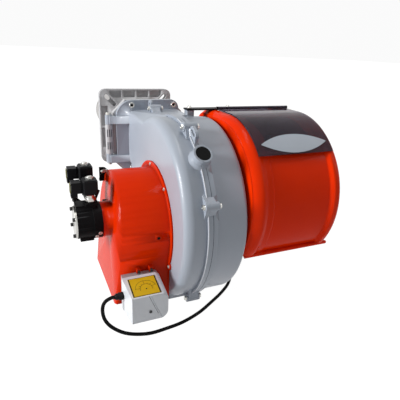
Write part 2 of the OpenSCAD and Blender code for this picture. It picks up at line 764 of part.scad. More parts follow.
module damper_spindle() color(steel) placed() at_damper() {
    rod_y(spindle_d, box_front - 11, box_back + 6);
    rod_y(22, box_front - 15, box_front - 11);
}

module damper_bushes() color(black) placed() at_damper() for (y = [box_front, box_back - intake_wall]) difference() {
    rod_y(bush_d, y, y + intake_wall);
    rod_y(spindle_d + 2 * running_gap, y - 1, y + intake_wall + 1);
}

// Damper motor on the front wall of the intake box

servo_left = -184;
servo_front_left = -176;
servo_round_x = -102;
servo_top = -104;
servo_front_top = servo_top - servo_slope;
servo_low = servo_front_top - servo_height;
servo_base_front = box_front - servo_base_thick;
servo_front = servo_base_front - servo_depth;

// Outline of the case: square on the left, round on the right
module servo_outline(left, top, low) {
    translate([left, low]) square([servo_round_x - left, top - low]);
    translate([servo_round_x, top - 14]) circle(14);
    translate([servo_round_x - 6, low + 20]) circle(20);
    translate([servo_round_x, low + 20]) square([14, top - low - 34]);
}

module servo_base() color([0.60, 0.62, 0.64]) placed() difference() {
    slab_y(servo_base_front, box_front) {
        servo_outline(servo_left + 3, servo_top - 2, servo_low + 4);
        translate([servo_round_x - 16, servo_low + 42]) circle(r = 38);
    }
    at_damper() rod_y(26, box_front - 16, box_front + 1);
}

module servo_case() color(pale_grey) placed() difference() {
    hull() {
        slab_y(servo_base_front - 0.5, servo_base_front) servo_outline(servo_left, servo_top, servo_low);
        slab_y(servo_front, servo_front + 0.5) servo_outline(servo_front_left, servo_front_top, servo_low);
    }
    translate([-131, servo_front, servo_front_top]) rotate([0, -22.5, 0])
        block([-0.6, -1, -servo_height - 10], [0.6, 1, 10]);
    translate([servo_left, -174, -147]) rod_x(gland_d - 6, -1, 12);
    translate([-132, 0, -165]) rod_y(4, servo_front - 1, servo_front + 6);
}

// Yellow dial plate on the case's sloping top
module servo_plate() color([0.80, 0.66, 0.10]) placed() translate([0, servo_base_front - 0.5, servo_top])
    rotate([atan(servo_slope / (servo_depth - 0.5)), 0, 0]) block([-172, -servo_depth + 3, 0.02], [-104, -9, 0.8]);

ear_x = [-139, -107];
module servo_ears() for (x = ear_x) {
    block([x - 5, box_front - 12, servo_top + soft_gap], [x + 5, box_front + 2, servo_top + 12]);
}

module servo_screws() color(black) placed() {
    for (x = ear_x) translate([x, box_front - 14, servo_top + 6]) rod_y(7, -2, 2);
    translate([-132, servo_front, -165]) {
        rod_y(4, 0, 6);
        rod_y(7, -2, 0);
    }
}

gland_end = servo_left - 20;
module cable_gland() color(black) placed() translate([0, -174, -147]) {
    rod_x(gland_d - 6, servo_left - 1, servo_left + 12);
    translate([servo_left - 10, 0, 0]) rotate([0, 90, 0]) cylinder(d = gland_d + 2, h = 10, $fn = 6);
    rod_x(gland_d - 3, gland_end + 3, servo_left - 10);
    rod_x(gland_d - 7, gland_end, gland_end + 3);
}

// Cables: each is one tube swept along the points of its route

cable_d = 9;
servo_route = [[-204, -174, -147], [-212, -174, -147], [-225, -174, -153], [-232, -174, -164],
    [-234, -174, -181], [-231, -176, -201], [-222, -180, -218], [-207, -186, -232], [-186, -194, -243],
    [-158, -202, -249], [-122, -207, -252], [-80, -205, -251], [-33, -198, -250], [18, -185, -243],
    [66, -159, -240], [118, -125, -239], [158, -92, -233], [186, -50, -217], [198, 0, -193], [200, 54, -158],
    [200, 86, -112], [200, 97, -60], [200, 98, -4], [200, 96, 44], [200, 94, 70], [200, 94, 84],
    [200, 94, 98]];
valve_cable_d = 7;
front_valve_route = [[-264, -20, 62], [-264, -20, 54], [-264, 0, 45], [-261, 26, 42], [-254, 48, 32],
    [-226, 48, 10], [-182, 42, 6]];
rear_valve_route = [[-264, 50, 78], [-264, 50, 68], [-264, 51, 50], [-258, 55, 30], [-244, 58, 14],
    [-218, 59, 7], [-182, 59, 6]];

function unit(v) = v / norm(v);
function tangent(path, i) = unit(path[min(i + 1, len(path) - 1)] - path[max(i - 1, 0)]);
// Rings stand square to the path; the side vector leans away from the Y axis
function ring(path, i, r, sides) = let (t = tangent(path, i), u = unit(cross(t, [0.2, 1, 0.1])), v = cross(t, u))
    [for (k = [0:sides - 1]) path[i] + r * (cos(k * 360 / sides) * u + sin(k * 360 / sides) * v)];

// Rounds a route by placing points between its own on a smooth curve
function smooth_point(a, b, c, d, t) = 0.5 * ((2 * b) + (c - a) * t + (2 * a - 5 * b + 4 * c - d) * t * t
    + (3 * b - a - 3 * c + d) * t * t * t);
function smooth(path, steps) = let (n = len(path) - 1) concat([for (i = [0:n - 1], k = [0:steps - 1])
    smooth_point(path[max(i - 1, 0)], path[i], path[i + 1], path[min(i + 2, n)], k / steps)], [path[n]]);

module swept_tube(path, d, sides) {
    n = len(path);
    points = [for (i = [0:n - 1]) each ring(path, i, d / 2, sides)];
    walls = [for (i = [0:n - 2], k = [0:sides - 1]) let (m = (k + 1) % sides)
        each [[i * sides + k, i * sides + m, (i + 1) * sides + m], [i * sides + k, (i + 1) * sides + m, (i + 1) * sides + k]]];
    first = [[for (k = [sides - 1:-1:0]) k]];
    last = [[for (k = [0:sides - 1]) (n - 1) * sides + k]];
    polyhedron(points = points, faces = concat(first, walls, last));
}

module servo_cable() color(black) placed() swept_tube(smooth(servo_route, 2), cable_d, 10);
module front_valve_cable() color(black) placed() swept_tube(smooth(front_valve_route, 2), valve_cable_d, 8);
module rear_valve_cable() color(black) placed() swept_tube(smooth(rear_valve_route, 2), valve_cable_d, 8);

// Oil pump and its valves

pump_back = -201;
pump_flange_end = pump_back - pump_flange_length;
pump_end = pump_flange_end - pump_length;
pump_cover_thick = 5;

module pump_body() color(black) placed() at_shaft() difference() {
    union() {
        rod_x(pump_flange_d, pump_flange_end, pump_back);
        rod_x(pump_d, pump_end, pump_flange_end);
        block([pump_end, -20, 20], [pump_flange_end + 10, 20, pump_d / 2 + 6]);
        block([pump_end + 6, -26, -pump_d / 2 - 2], [pump_flange_end, 26, -20]);
    }
    rod_x(16, pump_back - 12, pump_back + 1);
    for (x = [13, 31]) translate([pump_end + x, 0, 0])
        rod_z(oil_port_d, -pump_d / 2 - 3, -pump_d / 2 - 2 + oil_port_depth);
    pump_plug_places() rod_z(10, -2, 9);
}

module pump_plug_places() for (p = [[-16, 218], [-8, 203]]) translate([pump_back + p[0], 0, 0])
    rotate([p[1] - 90, 0, 0]) translate([0, 0, pump_flange_d / 2 - 8]) children();

module pump_plugs() color(steel) placed() at_shaft() pump_plug_places() difference() {
    rod_z(10, 0, 9.5);
    translate([0, 0, 5]) cylinder(d = 5, h = 6, $fn = 6);
}

module pump_screw_places() for (a = [45:90:315]) rotate([a + 12, 0, 0]) translate([0, 36, 0]) children();
module pump_cover() color(black) placed() at_shaft() difference() {
    rod_x(pump_d - 3, pump_end - pump_cover_thick, pump_end);
    pump_screw_places() rod_x(6, pump_end - pump_cover_thick - 1, pump_end + 1);
}

module pump_screws() color([0.2, 0.2, 0.21]) placed() at_shaft() pump_screw_places() {
    rod_x(6, pump_end - pump_cover_thick, pump_end);
    rod_x(10, pump_end - pump_cover_thick - 6, pump_end - pump_cover_thick);
}

// Manifold on the pump's top, with a taller spigot under the rear valve
valve_x = -225;
front_valve_y = -20;
rear_valve_y = 50;
manifold_low = fan_z + pump_d / 2 + 6;
front_coil_low = 68;
rear_coil_low = 84;
module valve_block() color(black) placed() difference() {
    union() {
        block([valve_x - 13, front_valve_y - 13, manifold_low], [valve_x + 18, front_valve_y + 20, manifold_low + 5]);
        block([valve_x - 9, front_valve_y + 14, manifold_low], [valve_x + 9, rear_valve_y + 11, manifold_low + 12]);
        translate([valve_x, rear_valve_y, 0]) rod_z(22, manifold_low + 1, rear_coil_low - 12);
        // Short pipe beside the front valve
        translate([valve_x + 12, front_valve_y + 15, manifold_low + 3]) rotate([0, 24, 0]) rod_z(7, 0, 30);
    }
    translate([valve_x, front_valve_y, 0]) rod_z(7, manifold_low - 1, manifold_low + 15);
}

// Zinc fittings between the manifold and the coils, with the stems that run up through the coils
stem_d = 13;
module valve_stems() color(steel) placed() {
    translate([valve_x, front_valve_y, 0]) {
        translate([0, 0, manifold_low + 5]) cylinder(d1 = 19, d2 = 27, h = 6, $fn = 6);
        translate([0, 0, manifold_low + 11]) cylinder(d = 27, h = 8, $fn = 6);
        rod_z(21, manifold_low + 19, front_coil_low);
        rod_z(stem_d, front_coil_low, front_coil_low + coil_height + 7);
    }
    translate([valve_x, rear_valve_y, 0]) {
        translate([0, 0, rear_coil_low - 12]) cylinder(d = 24, h = 9, $fn = 6);
        rod_z(18, rear_coil_low - 3, rear_coil_low);
        rod_z(stem_d, rear_coil_low, rear_coil_low + coil_height + 7);
    }
}

module valve_places() {
    translate([valve_x, front_valve_y, front_coil_low]) children();
    translate([valve_x, rear_valve_y, rear_coil_low]) children();
}

module valve_coils() color(black) placed() valve_places() difference() {
    union() {
        translate([0, 0, 3]) linear_extrude(coil_height - 6) rounded_rect(coil_side, coil_side + 4, 5);
        linear_extrude(coil_height) rounded_rect(coil_side - 5, coil_side - 1, 4);
        block([-coil_side / 2 - 5, -12, 5], [-coil_side / 2 + 2, 12, coil_height - 6]);
    }
    rod_z(stem_d, -1, coil_height + 1);
}

module coil_nuts() color(steel) placed() {
    valve_places() difference() {
        translate([0, 0, coil_height]) cylinder(d = 20, h = 5, $fn = 6);
        rod_z(stem_d, coil_height - 1, coil_height + 6);
    }
    translate([-169, 0, 92]) rod_y(10, 79, 84);
    translate([-159, 0, 90]) rod_y(7, 80, 84);
}

connector_left = -coil_side / 2 - 5;
module valve_connectors() color(black) placed() valve_places() {
    block([connector_left - 22, -14, 6], [connector_left, 14, coil_height - 4]);
    block([connector_left - 24, -9, -6], [connector_left - 8, 9, 6]);
}

// Bracket behind the valves, bolted to the end of the intake box
module valve_bracket() color(black) placed() difference() {
    union() {
        slab_y(84, 88) polygon([[-182, 102], [-167, 101], [-151, 87], [-158, 62], [-182, 62]]);
        block([-182, 84, 62], [-160, 96, 68]);
    }
    intersection() {
        slab_x(-230, -100) intake_outline(0);
        inside_end(0);
    }
}

grommet_d = 26;
module at_grommet() translate([0, 50, 6]) children();

// Hood over the motor and the panel

hood_y = -40;
hood_z = 45;
hood_left = 117;
hood_right = hood_left + hood_length;
hood_back = 120;
hood_back_r = 60;
hood_low = -80;
hood_top = hood_z + hood_r;

// Section of the hood's skin, as distance out from its rims' surface against place along the shaft.
// Two round rims stand out beside a panel that is pressed in by two steps.
rise = hood_rim_rise;
function bump(x0, x1, n0, n1) = [for (i = [1:5]) let (t = i / 5) [n0 + (n1 - n0) * (1 - cos(180 * t)) / 2, x0 + (x1 - x0) * t]];
bead_top = hood_left + 27;
skin_left = concat([[-26, hood_left], [-19, hood_left]],
    [for (i = [1:9]) let (a = 90 - i * 10) [-19 + 19 * cos(a), bead_top - (bead_top - hood_left) * sin(a)]],
    bump(bead_top, hood_left + hood_rim_w - 3, 0, -rise),
    [[-rise, hood_left + hood_rim_w + 9]],
    bump(hood_left + hood_rim_w + 9, hood_left + hood_rim_w + 15, -rise, -rise - 3));
skin_right = concat([[-rise - 3, hood_right - hood_rim_w + 12]],
    bump(hood_right - hood_rim_w + 12, hood_right - hood_rim_w + 24, -rise - 3, 0),
    [for (i = [1:8]) let (a = i * 11.25) [-17 + 17 * cos(a), hood_right - 20 + 20 * sin(a)]]);
module hood_skin() difference() {
    polygon(concat(skin_left, skin_right, [[-26, hood_right]]));
    polygon(concat([[-40, hood_left - 1]], [for (p = skin_left) [p[0] - hood_wall, p[1] + (p[1] > hood_left + 6 ? 0 : hood_wall)]],
        [for (p = skin_right) [p[0] - hood_wall, p[1] - (p[1] < hood_right - 6 ? 0 : hood_wall)]], [[-40, hood_right - hood_wall]]));
}

// Sweeps the skin over the round front, the flat top, the round back and down behind
module hood_sweep() {
    translate([0, hood_y, hood_z]) rotate([180, 0, 0]) rotate([0, 90, 0])
        rotate_extrude(angle = 125.5, $fn = 128) translate([hood_r, 0]) children();
    slab_y(hood_y, hood_back - hood_back_r) translate([0, hood_top]) mirror([1, -1, 0]) children();
    translate([0, hood_back - hood_back_r, hood_top - hood_back_r]) rotate([90, 0, 0]) rotate([0, 90, 0])
        rotate_extrude(angle = 90, $fn = 96) translate([hood_back_r, 0]) children();
    translate([0, hood_back, hood_low]) linear_extrude(hood_top - hood_back_r - hood_low)
        mirror([1, -1, 0]) children();
}

function hood_outline(inset) = concat(arc(hood_back - hood_back_r, hood_top - hood_back_r, hood_back_r - inset, 0, 90, 12),
    arc(hood_y, hood_z, hood_r - inset, 90, 90 + 125.5, 40), [[hood_back - inset, hood_low]]);

// Angle and place of the rolled sill along the hood's front bottom edge
module at_sill() translate([0, hood_y, hood_z]) rotate([90 + 125.5 - 90, 0, 0]) translate([0, 0, hood_r - 4]) children();

module hood() color(orange) placed() difference() {
    union() {
        hood_sweep() hood_skin();
        slab_x(hood_right - hood_wall, hood_right) polygon(hood_outline(11));
        slab_x(hood_left, hood_left + hood_wall) polygon(hood_outline(11));
        at_sill() {
            rod_x(10, hood_left + 10, hood_right + 5);
            translate([hood_right + 5, 0, 0]) sphere(d = 10);
            block([hood_left + 10, -2, -20], [hood_right - 2, 2, -2]);
        }
    }
    // The left end is open round the motor and the panel
    block([hood_left - 1, -135, hood_low - 20], [hood_left + hood_wall + 1, 104, 150]);
    // Opening that the smoked window covers
    slab_x(hood_left + hood_rim_w + 22, hood_right - hood_rim_w - 10) polygon(concat(
        [[hood_y, hood_z]], arc(hood_y, hood_z, 400, 90, 132, 10)));
    // Air slots in the right end
    for (i = [0:6], z = [0, 60]) block([hood_right - 10, -90 + i * 26, z], [hood_right + 1, -83 + i * 26, z + 42]);
}

module hood_screws() color(steel) placed() {
    for (x = [66, 186]) translate([x, bar_mid, bar_top]) {
        rod_z(12, 0, 2);
        translate([0, 0, 2]) intersection() {
            sphere(d = 12);
            rod_z(14, 0, 8);
        }
    }
}

// Black bar over the top, which carries the hood from the fan housing and holds the window's hinge
bar_low = hood_top;
bar_top = bar_low + 4;
bar_front = 34;
bar_back = 62;
bar_mid = (bar_front + bar_back) / 2;
window_hinge_y = 27;
window_hinge_z = bar_top + 2;
barrel_d = 9;
window_left = 145;
window_right = window_left + window_length;

module hood_bar() color(black) placed() difference() {
    union() {
        block([54, bar_front, bar_low], [378, bar_back, bar_top]);
        for (x = [window_left - 6, window_right + 1]) {
            translate([0, window_hinge_y, window_hinge_z]) rod_x(barrel_d, x, x + 5);
            block([x, window_hinge_y, bar_low + 0.5], [x + 5, bar_front + 1, bar_top]);
        }
    }
    translate([0, window_hinge_y, window_hinge_z]) rod_x(5, window_left - 7, window_right + 7);
}

module window_pin() color(steel) placed() translate([0, window_hinge_y, window_hinge_z])
    rod_x(5, window_left - 6, window_right + 6);

// Smoked window: a curved flap that lies on the hood's rims and opens about its top edge
window_r = hood_r + 0.6;
window_low_angle = 41;
function window_band(r0, r1) = concat(arc(hood_y, hood_z, r1, 90, 180 - window_low_angle, 20),
    [for (p = arc(hood_y, hood_z, r0, 180 - window_low_angle, 90, 20)) p]);

module window() color([0.15, 0.13, 0.17, 0.6]) placed() difference() {
    union() {
        slab_x(window_left, window_right) polygon(window_band(window_r, window_r + window_thick));
        block([window_left, hood_y - 0.01, hood_z + window_r],
            [window_right, window_hinge_y - 1, hood_z + window_r + window_thick]);
        translate([0, window_hinge_y, window_hinge_z]) rod_x(barrel_d, window_left + 0.5, window_right + 0.5);
    }
    translate([0, window_hinge_y, window_hinge_z]) rod_x(5 + 2 * running_gap, window_left - 1, window_right + 2);
}

// Bare plate shaped like a leaf, on the smoked window
leaf_x = 260;
leaf_angle = 49;
leaf_length = 198;
leaf_height = 56;
module leaf_plate() color([0.66, 0.68, 0.70]) placed() intersection() {
    slab_x(window_left, window_right) polygon(window_band(window_r + window_thick, window_r + window_thick + 1.2));
    translate([leaf_x, hood_y, hood_z]) rotate([90 - leaf_angle, 0, 0]) linear_extrude(400) leaf_outline();
}
leaf_arc_r = (leaf_length * leaf_length / 4 + leaf_height * leaf_height / 4) / leaf_height;
module leaf_outline() intersection_for(s = [-1, 1])
    translate([0, s * (leaf_arc_r - leaf_height / 2)]) circle(leaf_arc_r, $fn = 128);

// Electrical panel under the hood

tray_z = 98;
tray_thick = 2;
tray_right = 366;
module panel_tray() color(steel) placed() difference() {
    union() {
        block([right_depth, -120, tray_z], [tray_right, 104, tray_z + tray_thick]);
        block([right_depth, -120, tray_z], [right_depth + tray_thick, 90, tray_z + 40]);
    }
    for (x = [140, 230, 350], y = [-106, 80]) translate([x, y, 0]) rod_z(7, tray_z - 1, tray_z + tray_thick + 1);
}

panel_top = tray_z + 62;
button_d = 14;
rocker_y = -80;
module control_box() color([0.65, 0.12, 0.08]) placed() difference() {
    union() {
        block([286, -104, tray_z + tray_thick], [356, -14, panel_top]);
        block([280, -110, tray_z + tray_thick], [362, -8, tray_z + 14]);
    }
    translate([338, -50, 0]) rod_z(button_d + 2 * running_gap, panel_top - 16, panel_top + 1);
    block([295, rocker_y - 13, panel_top - 9], [315, rocker_y + 13, panel_top + 1]);
    translate([0, rocker_y, panel_top - 3]) rod_x(rocker_pin_d + 2 * running_gap, 292, 318);
}

module ignition_transformer() color(black) placed() {
    block([286, 8, tray_z + tray_thick], [356, 88, tray_z + 60]);
    for (x = [304, 338]) translate([x, 48, 0]) rod_z(16, tray_z + 60, tray_z + 78);
}

module contactor() color([0.25, 0.25, 0.27]) placed() {
    for (i = [0:1]) {
        block([142 + i * 50, -60, tray_z + tray_thick], [186 + i * 50, 14, tray_z + 56]);
        block([146 + i * 50, -44, tray_z + 56], [182 + i * 50, -2, tray_z + 68]);
    }
}

// Rocker of the main switch, and the button that resets the flame safeguard
rocker_pin_d = 3;
module power_switch() color([0.1, 0.1, 0.1]) placed() translate([0, rocker_y, panel_top]) {
    slab_x(296, 314) polygon([[-11, 3], [0, 0.8], [11, 3], [8, -6], [-8, -6]]);
    translate([0, 0, -3]) rod_x(rocker_pin_d, 292.5, 317.5);
}
module reset_button() color([0.8, 0.1, 0.1]) placed() translate([338, -50, 0])
    rod_z(button_d, panel_top - 11, panel_top + 6);

boiler_flange();
clamp_screws();
blast_tube();
head_plate();
hinge_pin();
oil_lance();
nozzles();
electrodes();
electrode_clamp();
lance_spider();
flame_disc();
housing_left();
housing_right();
seam_screws();
back_plate_screws();
black_plugs();
fan_wheel();
motor_shaft();
shaft_coupling();
motor_case();
motor_end_shields();
motor_bearings();
motor_fan_cowl();
terminal_box();
intake_box();
intake_screws();
pump_support();
damper_flap();
damper_spindle();
damper_bushes();
servo_base();
servo_case();
servo_plate();
servo_screws();
cable_gland();
servo_cable();
pump_body();
pump_cover();
pump_screws();
pump_plugs();
valve_block();
valve_stems();
valve_coils();
coil_nuts();
valve_connectors();
front_valve_cable();
rear_valve_cable();
valve_bracket();
hood();
hood_screws();
hood_bar();
window();
window_pin();
leaf_plate();
panel_tray();
control_box();
ignition_transformer();
contactor();
power_switch();
reset_button();
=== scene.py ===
# %% [markdown]
# # An oil burner, dressed for its photograph
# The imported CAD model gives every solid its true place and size. This lesson puts the looks on it: the camera,
# the cables, rounded castings, screws, paints and metals, and then the light.

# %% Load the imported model
import json
import math

import bmesh
import bpy
from mathutils import Matrix, Vector


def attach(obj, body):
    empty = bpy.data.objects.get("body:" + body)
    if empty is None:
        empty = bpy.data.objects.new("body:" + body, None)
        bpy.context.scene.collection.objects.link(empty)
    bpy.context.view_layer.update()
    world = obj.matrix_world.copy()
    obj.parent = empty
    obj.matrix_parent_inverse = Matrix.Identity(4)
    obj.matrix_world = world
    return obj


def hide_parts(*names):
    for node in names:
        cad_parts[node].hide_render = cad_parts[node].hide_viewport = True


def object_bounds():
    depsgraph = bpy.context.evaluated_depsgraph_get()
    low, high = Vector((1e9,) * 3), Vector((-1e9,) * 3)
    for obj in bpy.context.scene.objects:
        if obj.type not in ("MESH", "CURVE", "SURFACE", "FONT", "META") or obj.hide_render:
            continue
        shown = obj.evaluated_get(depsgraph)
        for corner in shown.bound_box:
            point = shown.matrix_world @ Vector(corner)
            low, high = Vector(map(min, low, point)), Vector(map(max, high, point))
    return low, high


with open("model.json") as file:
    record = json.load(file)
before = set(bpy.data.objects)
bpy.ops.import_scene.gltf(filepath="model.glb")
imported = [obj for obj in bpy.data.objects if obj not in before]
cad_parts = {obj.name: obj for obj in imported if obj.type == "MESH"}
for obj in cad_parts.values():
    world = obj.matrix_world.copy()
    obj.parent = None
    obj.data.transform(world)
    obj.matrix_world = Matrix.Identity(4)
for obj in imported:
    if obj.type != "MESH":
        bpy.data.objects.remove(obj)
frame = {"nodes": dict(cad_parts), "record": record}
cad_low, cad_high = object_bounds()
body_of = {node: body for body, nodes in frame["record"]["behaviour"]["bodies"].items() for node in nodes}
slot_of = {part["node"]: part["material_slot"] for part in frame["record"]["subparts"]}

# %% [markdown]
# A few helpers come back all through the lesson. They put data into the scene, give the plain mesh that a curve or a
# modifier makes, and shade a mesh smooth while its real edges stay sharp.


# %% Helpers for objects and meshes
def add_object(name, data):
    obj = bpy.data.objects.new(name, data)
    bpy.context.scene.collection.objects.link(obj)
    return obj


def made_plain(obj):
    """The mesh that an object's curve or modifiers make."""
    bpy.context.view_layer.update()
    return bpy.data.meshes.new_from_object(obj.evaluated_get(bpy.context.evaluated_depsgraph_get()))


def closed_mesh(form, name):
    """A mesh from a bmesh of closed solids, its faces turned outwards."""
    bmesh.ops.recalc_face_normals(form, faces=form.faces)
    mesh = bpy.data.meshes.new(name)
    form.to_mesh(mesh)
    form.free()
    return mesh


def smooth_below(mesh, degrees):
    mesh.shade_smooth()
    mesh.set_sharp_from_angle(angle=math.radians(degrees))


# %% [markdown]
# ## The camera
# The photographer stood a little left of the fan shaft and looked down on the burner, with the camera tilted by
# three degrees. Three square directions fix such a view exactly, so they are written down as a matrix.

# %% Camera
camera_data = bpy.data.cameras.new("camera")
camera_data.lens = 35.19
camera_data.sensor_width = 36.0
camera_data.clip_start = 0.01
camera_data.clip_end = 200.0
camera = add_object("camera", camera_data)
right = Vector((0.91348, -0.40416, 0.04696))
up = Vector((0.10755, 0.35114, 0.93013))
back = -Vector((0.39241, 0.84460, -0.36423))
turn = Matrix((right, up, back)).transposed().to_4x4()
camera.matrix_world = Matrix.Translation((-0.3805, -1.4267, 0.2809)) @ turn
bpy.context.scene.camera = camera

# %% [markdown]
# ## The cables
# Three cables are seen. The damper motor's cable leaves its gland, runs under the housing and climbs to the panel.
# Each solenoid valve has a short cable that goes into the intake box. The points are those of the CAD solids, and
# a smooth curve through them carries a round section, which is how Blender draws a cable with the fewest numbers.

# %% Cables
SERVO_ROUTE = [(-0.224, -0.63, -0.29), (-0.232, -0.63, -0.29), (-0.245, -0.63, -0.296), (-0.252, -0.63, -0.307),
    (-0.254, -0.63, -0.324), (-0.251, -0.632, -0.344), (-0.242, -0.636, -0.361), (-0.227, -0.642, -0.375),
    (-0.206, -0.65, -0.386), (-0.178, -0.658, -0.392), (-0.142, -0.663, -0.395), (-0.1, -0.661, -0.394),
    (-0.053, -0.654, -0.393), (-0.002, -0.641, -0.386), (0.046, -0.615, -0.383), (0.098, -0.581, -0.382),
    (0.138, -0.548, -0.376), (0.166, -0.506, -0.36), (0.178, -0.456, -0.336), (0.18, -0.402, -0.301),
    (0.18, -0.37, -0.255), (0.18, -0.359, -0.203), (0.18, -0.358, -0.147), (0.18, -0.36, -0.099),
    (0.18, -0.362, -0.073), (0.18, -0.362, -0.059), (0.18, -0.362, -0.045)]
FRONT_VALVE_ROUTE = [(-0.284, -0.476, -0.081), (-0.284, -0.476, -0.089), (-0.284, -0.456, -0.098),
    (-0.281, -0.43, -0.101), (-0.274, -0.408, -0.111), (-0.246, -0.408, -0.133), (-0.202, -0.414, -0.137)]
REAR_VALVE_ROUTE = [(-0.284, -0.406, -0.065), (-0.284, -0.406, -0.075), (-0.284, -0.405, -0.093),
    (-0.278, -0.401, -0.113), (-0.264, -0.398, -0.129), (-0.238, -0.397, -0.136), (-0.202, -0.397, -0.137)]
ROUTE_STEPS = 6


def smooth_route(points, steps):
    """Points on a curve that passes through the given ones."""
    p = [Vector(q) for q in points]
    made = []
    for i in range(len(p) - 1):
        a, b, c, d = p[max(i - 1, 0)], p[i], p[i + 1], p[min(i + 2, len(p) - 1)]
        for k in range(steps):
            t = k / steps
            made.append(0.5 * (2 * b + (c - a) * t + (2 * a - 5 * b + 4 * c - d) * t * t
                               + (3 * b - a - 3 * c + d) * t ** 3))
    made.append(p[-1])
    return made


def cable(name, route, diameter):
    """A round cable along a route, and the line that it follows."""
    line = smooth_route(route, ROUTE_STEPS)
    curve = bpy.data.curves.new(name, "CURVE")
    curve.dimensions = "3D"
    curve.bevel_depth = diameter / 2
    curve.bevel_resolution = 5
    curve.use_fill_caps = True
    spline = curve.splines.new("POLY")
    spline.points.add(len(line) - 1)
    for point, place in zip(spline.points, line):
        point.co = (*place, 1.0)
    spline.use_smooth = True
    drawn = add_object(name + "_curve", curve)
    tube = made_plain(drawn)
    bpy.data.objects.remove(drawn)
    tube.shade_smooth()
    length = sum((b - a).length for a, b in zip(line, line[1:]))
    print(name, "is", round(length, 4), "m long")
    return add_object(name, tube), line


cables = {}
for node, route, diameter, length in (("servo_cable", SERVO_ROUTE, 0.009, 0.96),
                                      ("front_valve_cable", FRONT_VALVE_ROUTE, 0.007, 0.164),
                                      ("rear_valve_cable", REAR_VALVE_ROUTE, 0.007, 0.134)):
    flex, line = cable(node + "_round", route, diameter)
    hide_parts(node)
    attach(flex, body_of[node])
    cables[node] = flex

# %% [markdown]
# ## Shared effects for the finishes
# Paint, cast metal and plastic all need the same few things: tone that varies, a fine grain, edges that catch the
# light, and a little dust on what faces up. Each is a shader node group, built once and used by every finish with
# its own values. The groups put out colours, values and normals only, and the shader stays in the material.


# %% Helpers that build node groups
def new_group(name, inputs, outputs):
    tree = bpy.data.node_groups.new(name, "ShaderNodeTree")
    for label, kind, value in inputs:
        socket = tree.interface.new_socket(name=label, in_out="INPUT", socket_type=kind)
        if value is not None:
            socket.default_value = value
    for label, kind in outputs:
        tree.interface.new_socket(name=label, in_out="OUTPUT", socket_type=kind)
    return tree, tree.nodes.new("NodeGroupInput"), tree.nodes.new("NodeGroupOutput")


def math_node(tree, operation, a, b=None, c=None, clamp=False):
    node = tree.nodes.new("ShaderNodeMath")
    node.operation = operation
    node.use_clamp = clamp
    for socket, value in zip(node.inputs, (a, b, c)):
        if isinstance(value, (int, float)):
            socket.default_value = value
        elif value is not None:
            tree.links.new(value, socket)
    return node.outputs[0]


def mix_colour(tree, factor, a, b):
    node = tree.nodes.new("ShaderNodeMix")
    node.data_type = "RGBA"
    for socket, value in ((node.inputs[0], factor), (node.inputs[6], a), (node.inputs[7], b)):
        if isinstance(value, bpy.types.NodeSocket):
            tree.links.new(value, socket)
        elif isinstance(value, (int, float)):
            socket.default_value = value
        else:
            socket.default_value = (*value, 1.0)
    return node.outputs[2]


COLOUR, NUMBER, VECTOR = "NodeSocketColor", "NodeSocketFloat", "NodeSocketVector"

# %% [markdown]
# **Uneven tone** mixes two colours by a soft cloud, as a sprayed or cast surface shows when light rakes over it.

# %% Uneven tone
tone_group, g_in, g_out = new_group("uneven tone", [("Vector", VECTOR, None), ("First", COLOUR, (0.5, 0.5, 0.5, 1)),
    ("Second", COLOUR, (0.4, 0.4, 0.4, 1)), ("Scale", NUMBER, 20.0)], [("Color", COLOUR)])
cloud = tone_group.nodes.new("ShaderNodeTexNoise")
cloud.inputs["Detail"].default_value = 4.0
cloud.inputs["Roughness"].default_value = 0.6
tone_group.links.new(g_in.outputs["Vector"], cloud.inputs["Vector"])
tone_group.links.new(g_in.outputs["Scale"], cloud.inputs["Scale"])
patches = math_node(tone_group, "MULTIPLY_ADD", cloud.outputs["Fac"], 2.2, -0.6, clamp=True)
tone_group.links.new(mix_colour(tone_group, patches, g_in.outputs["First"], g_in.outputs["Second"]),
                     g_out.inputs["Color"])

# %% [markdown]
# **Grain** is the height map of a surface: a coarse skin, such as sand-cast metal has, with a finer one over it.

# %% Grain
grain_group, g_in, g_out = new_group("grain", [("Vector", VECTOR, None), ("Scale", NUMBER, 400.0),
    ("Coarse", NUMBER, 0.5)], [("Height", NUMBER)])
fine = grain_group.nodes.new("ShaderNodeTexNoise")
fine.inputs["Detail"].default_value = 3.0
coarse = grain_group.nodes.new("ShaderNodeTexNoise")
coarse.inputs["Detail"].default_value = 2.0
for texture in (fine, coarse):
    grain_group.links.new(g_in.outputs["Vector"], texture.inputs["Vector"])
grain_group.links.new(g_in.outputs["Scale"], fine.inputs["Scale"])
grain_group.links.new(math_node(grain_group, "MULTIPLY", g_in.outputs["Scale"], 0.12), coarse.inputs["Scale"])
grain_group.links.new(math_node(grain_group, "ADD", fine.outputs["Fac"],
    math_node(grain_group, "MULTIPLY", coarse.outputs["Fac"], g_in.outputs["Coarse"])), g_out.inputs["Height"])

# %% [markdown]
# **Edge wear** finds corners by comparing the surface's normal with a rounded one: where the two differ, there is
# an edge. The same rounded normal also makes each CAD edge catch a line of light, as every real edge does.

